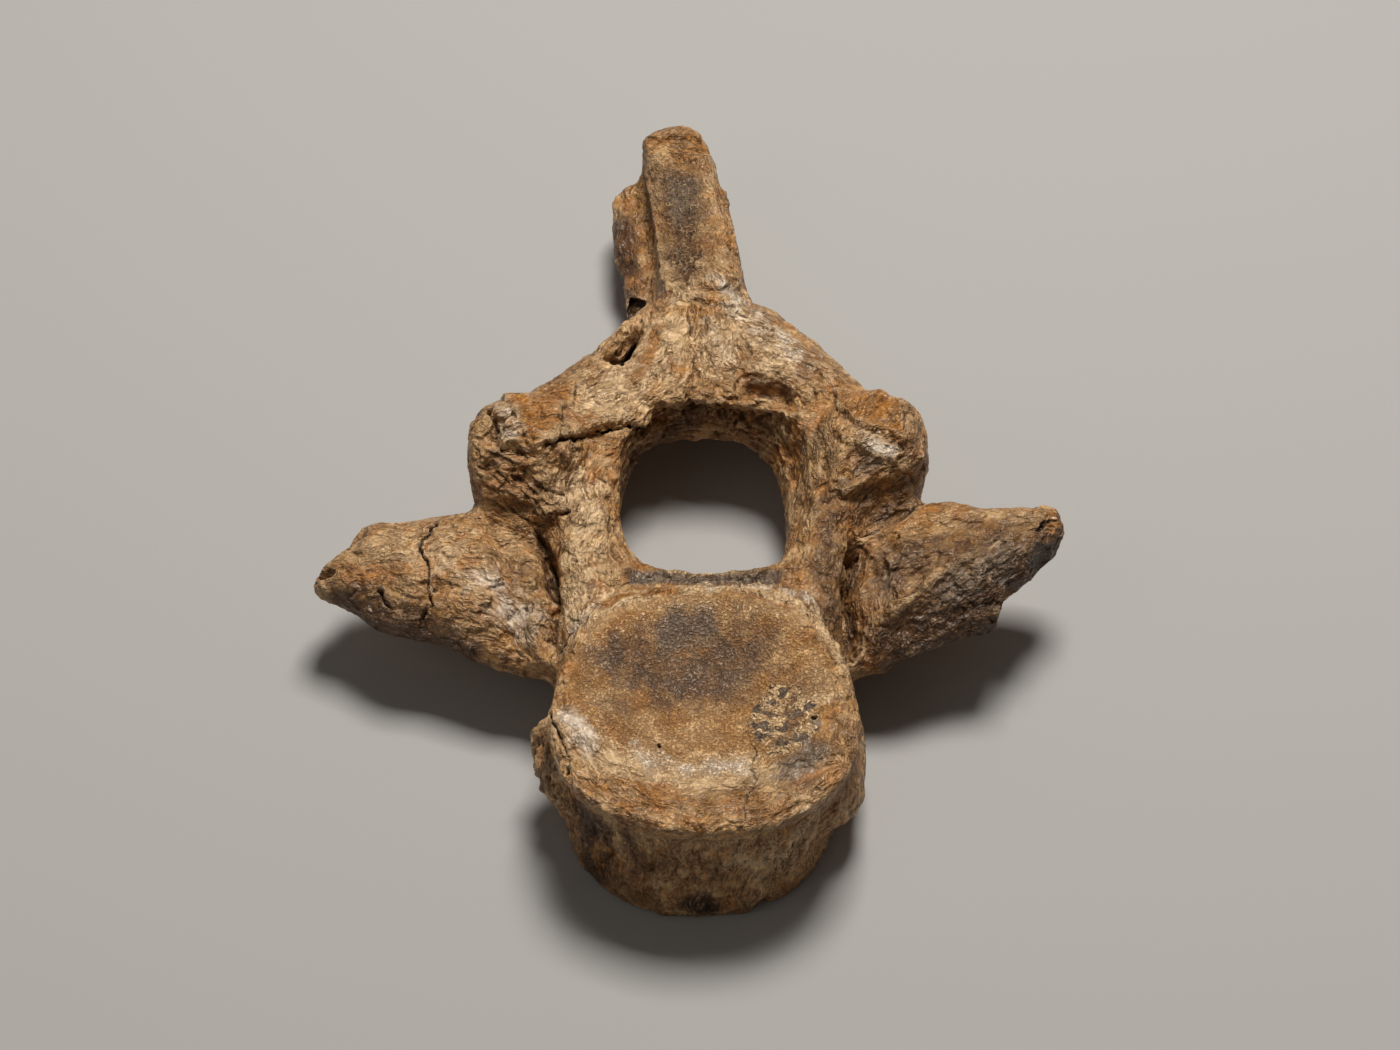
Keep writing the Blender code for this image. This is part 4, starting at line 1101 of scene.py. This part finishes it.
def stains_and_painted_light(net, p, colour):
    """The stains, and painted shade and light laid on as cover in the same way, each with an edge that the
    grain and blotches of the bone break up.
    """
    grain = net.math("SUBTRACT", p.level, 0.5)
    blotch = net.math("SUBTRACT", p.blotch, 0.5)

    def cover(amount, low, high, ragged=0.45):
        return net.ramp(net.line(blotch, ragged, net.line(grain, 0.3, amount)), low, high)

    crust = net.mix(net.ramp(p.island, 0.54, 0.64), IVORY, ASH)
    crust = net.mix(p.worms, crust, CRUST_LINES)
    return net.tinted(
        colour,
        # the dark cover: mostly painted shade, partly the bone's own darker colour
        (cover(p.dark, 0.15, 0.9, 0.3), 1, BROWN),
        (cover(p.dark, 0.7, 1.5), 0.7, UMBER),
        (cover(p.grey, 0.1, 0.9, 0.2), 1, ASH),
        # cream, with painted light on the lower band of the dished face and at the left wing's root
        (cover(p.cream, 0.15, 0.9), 1, IVORY),
        (cover(p.orange, 0.15, 0.8), 1, AMBER),
        # white wear, with painted highlights on the dished face and the left wing
        (cover(p.white, 0.15, 1.15), 0.9, CHALK),
        (cover(p.mottled, 0.3, 0.7), 1, crust),
    )


def grain_tones_and_painted_light(net, p, colour):
    """Chips with tones of their own, and fibres and grains with painted shade on their low side and a
    painted highlight on their high side.
    """
    shaded = net.mix(1, colour, SHADE, "MULTIPLY")
    low_chip = net.mix(0.15, colour, SHADE, "MULTIPLY")
    high_chip = net.mix(0.6, colour, LIGHTER, "MULTIPLY")
    colour = net.mix(net.ramp(p.shade, 0.2, 0.8), low_chip, high_chip)
    small_chip = (net.ramp(p.small_shade, 0.6, 0.1), 0.25, shaded)
    # painted shade on the low side of the fine grain
    low_grain = (net.ramp(p.level, 0.6, 0), 0.68, shaded)
    colour = net.tinted(colour, small_chip, low_grain)
    # painted highlight on the high side of the fine grain
    colour = net.mix(net.ramp(p.level, 0.55, 1), colour, LIGHTER, "MULTIPLY")
    colour = net.mix(net.times(p.face, 0.8), colour, LIGHTER, "MULTIPLY")
    return net.tinted(colour, (p.crackle, 0.5, IVORY))


def dark_hollows_and_painted_light(net, p, colour):
    """Darker in hollows and dips. Painted shade at the feet of flake steps and in clefts, and painted
    highlights on crests and flake edges, weaker on the dark cover.
    """
    lit = net.math("MULTIPLY_ADD", p.dark, -0.6, 1, clamp=True)
    return net.tinted(
        colour,
        (net.ramp(p.hollow, 0.05, 0.5), 0.65, BROWN),
        # painted highlight on the broad crests
        (net.times(lit, net.ramp(p.hollow, 0, -0.4)), 0.4, PALE_TAN),
        (net.ramp(p.dip, 0, 0.08), 0.6, UMBER),
        # painted highlight on the fine crests
        (net.times(lit, net.ramp(p.dip, 0, -0.08)), 0.4, IVORY),
        # painted shade at the foot of each flake step, and a painted highlight on its edge
        (p.foot, 0.5, UMBER),
        (net.times(lit, p.edge), 0.45, IVORY),
        # painted shade in the clefts
        (net.ramp(p.cleft, 0.3, 1), 0.9, UMBER),
    )


def set_finish(net, p):
    """Roughness and bump. Both follow the grain that the colour follows."""
    gloss = net.line(p.orange, -0.1, net.line(p.level, -0.22, 0.54))
    height = net.times(p.flakes, net.line(p.worn, 1.2, 0.3))
    height = net.line(p.small_tilt, 0.4, net.line(p.tilt, 0.35, height))
    height = net.line(p.level, net.line(p.plain, 0.14, 0.18), net.times(height, p.bony))
    height = net.line(p.crackle, 0.12, height)
    bump = net.add("Bump", {"Height": height, "Distance": MM, "Strength": 1})
    net.plug(net.shader.inputs["Roughness"], gloss)
    net.plug(net.shader.inputs["Normal"], bump["Normal"])


def bone_material():
    """Mineralised bone: tan and brown fibres, the stains, painted shade in the crevices and painted
    highlights on the relief.
    """
    material = bpy.data.materials.new("fossil bone")
    net = Net(material)
    p = patterns(net)
    colour = bare_colour(net, p)
    for change in (stains_and_painted_light, grain_tones_and_painted_light, dark_hollows_and_painted_light):
        colour = change(net, p, colour)
    net.plug(net.shader.inputs["Base Color"], colour)
    set_finish(net, p)
    return material


# The floor, the light and the camera

FLOOR_SIZE = 6
FLOOR_GAP = 0.02 * MM  # keeps the floor clear of the flat rear face of the bone
FLOOR_COLOUR = (0.46, 0.45, 0.435)
FLOOR_ROUGHNESS = 0.9

# Square lights that face the bone: (name, place, size, power, colour)
LIGHTS = [
    ("key", (0.07, 0.28, 0.64), 0.22, 4.7, (1, 0.97, 0.92)),
    ("fill", (-0.5, -0.3, 0.5), 0.5, 0.3, (1, 0.98, 0.96)),
]
LIGHT_AIM = (0, 0.035, 0.01)
ROOM_COLOUR = (1, 0.96, 0.9, 1)
ROOM_STRENGTH = 0.08


def make_floor():
    """A plain pale floor under the bone."""
    bpy.ops.mesh.primitive_plane_add(size=FLOOR_SIZE, location=(0, 0, -FLOOR_GAP))
    floor = bpy.context.object
    floor.name = "floor"
    material = bpy.data.materials.new("pale floor")
    net = Net(material)
    net.plug(net.shader.inputs["Base Color"], FLOOR_COLOUR)
    net.plug(net.shader.inputs["Roughness"], FLOOR_ROUGHNESS)
    floor.data.materials.append(material)


def make_light():
    for name, place, size, power, colour in LIGHTS:
        light = bpy.data.lights.new(name, "AREA")
        light.shape = "SQUARE"
        light.size = size
        light.energy = power
        light.color = colour
        lamp = placed(name, light)
        lamp.location = place
        aim = Vector(LIGHT_AIM) - Vector(place)
        lamp.rotation_euler = aim.to_track_quat("-Z", "Y").to_euler()
    world = bpy.data.worlds.new("room")
    bpy.context.scene.world = world
    world.use_nodes = True
    sky = world.node_tree.nodes["Background"]
    sky.inputs["Color"].default_value = ROOM_COLOUR
    sky.inputs["Strength"].default_value = ROOM_STRENGTH
    bpy.context.scene.view_settings.view_transform = "Standard"


def make_camera():
    data = bpy.data.cameras.new("camera")
    data.sensor_width = SENSOR
    data.lens = LENS
    data.clip_start = 0.02  # metres
    data.clip_end = 20
    camera = placed("camera", data)
    tilt = math.radians(CAMERA_ELEVATION)
    back = Vector((0, -math.cos(tilt), math.sin(tilt)))
    camera.location = (Vector(CAMERA_AIM) + CAMERA_DISTANCE * back) * MM
    camera.rotation_euler = (math.radians(90 - CAMERA_ELEVATION), 0, 0)
    bpy.context.scene.camera = camera


make_camera()
make_floor()
make_light()
make_bone()
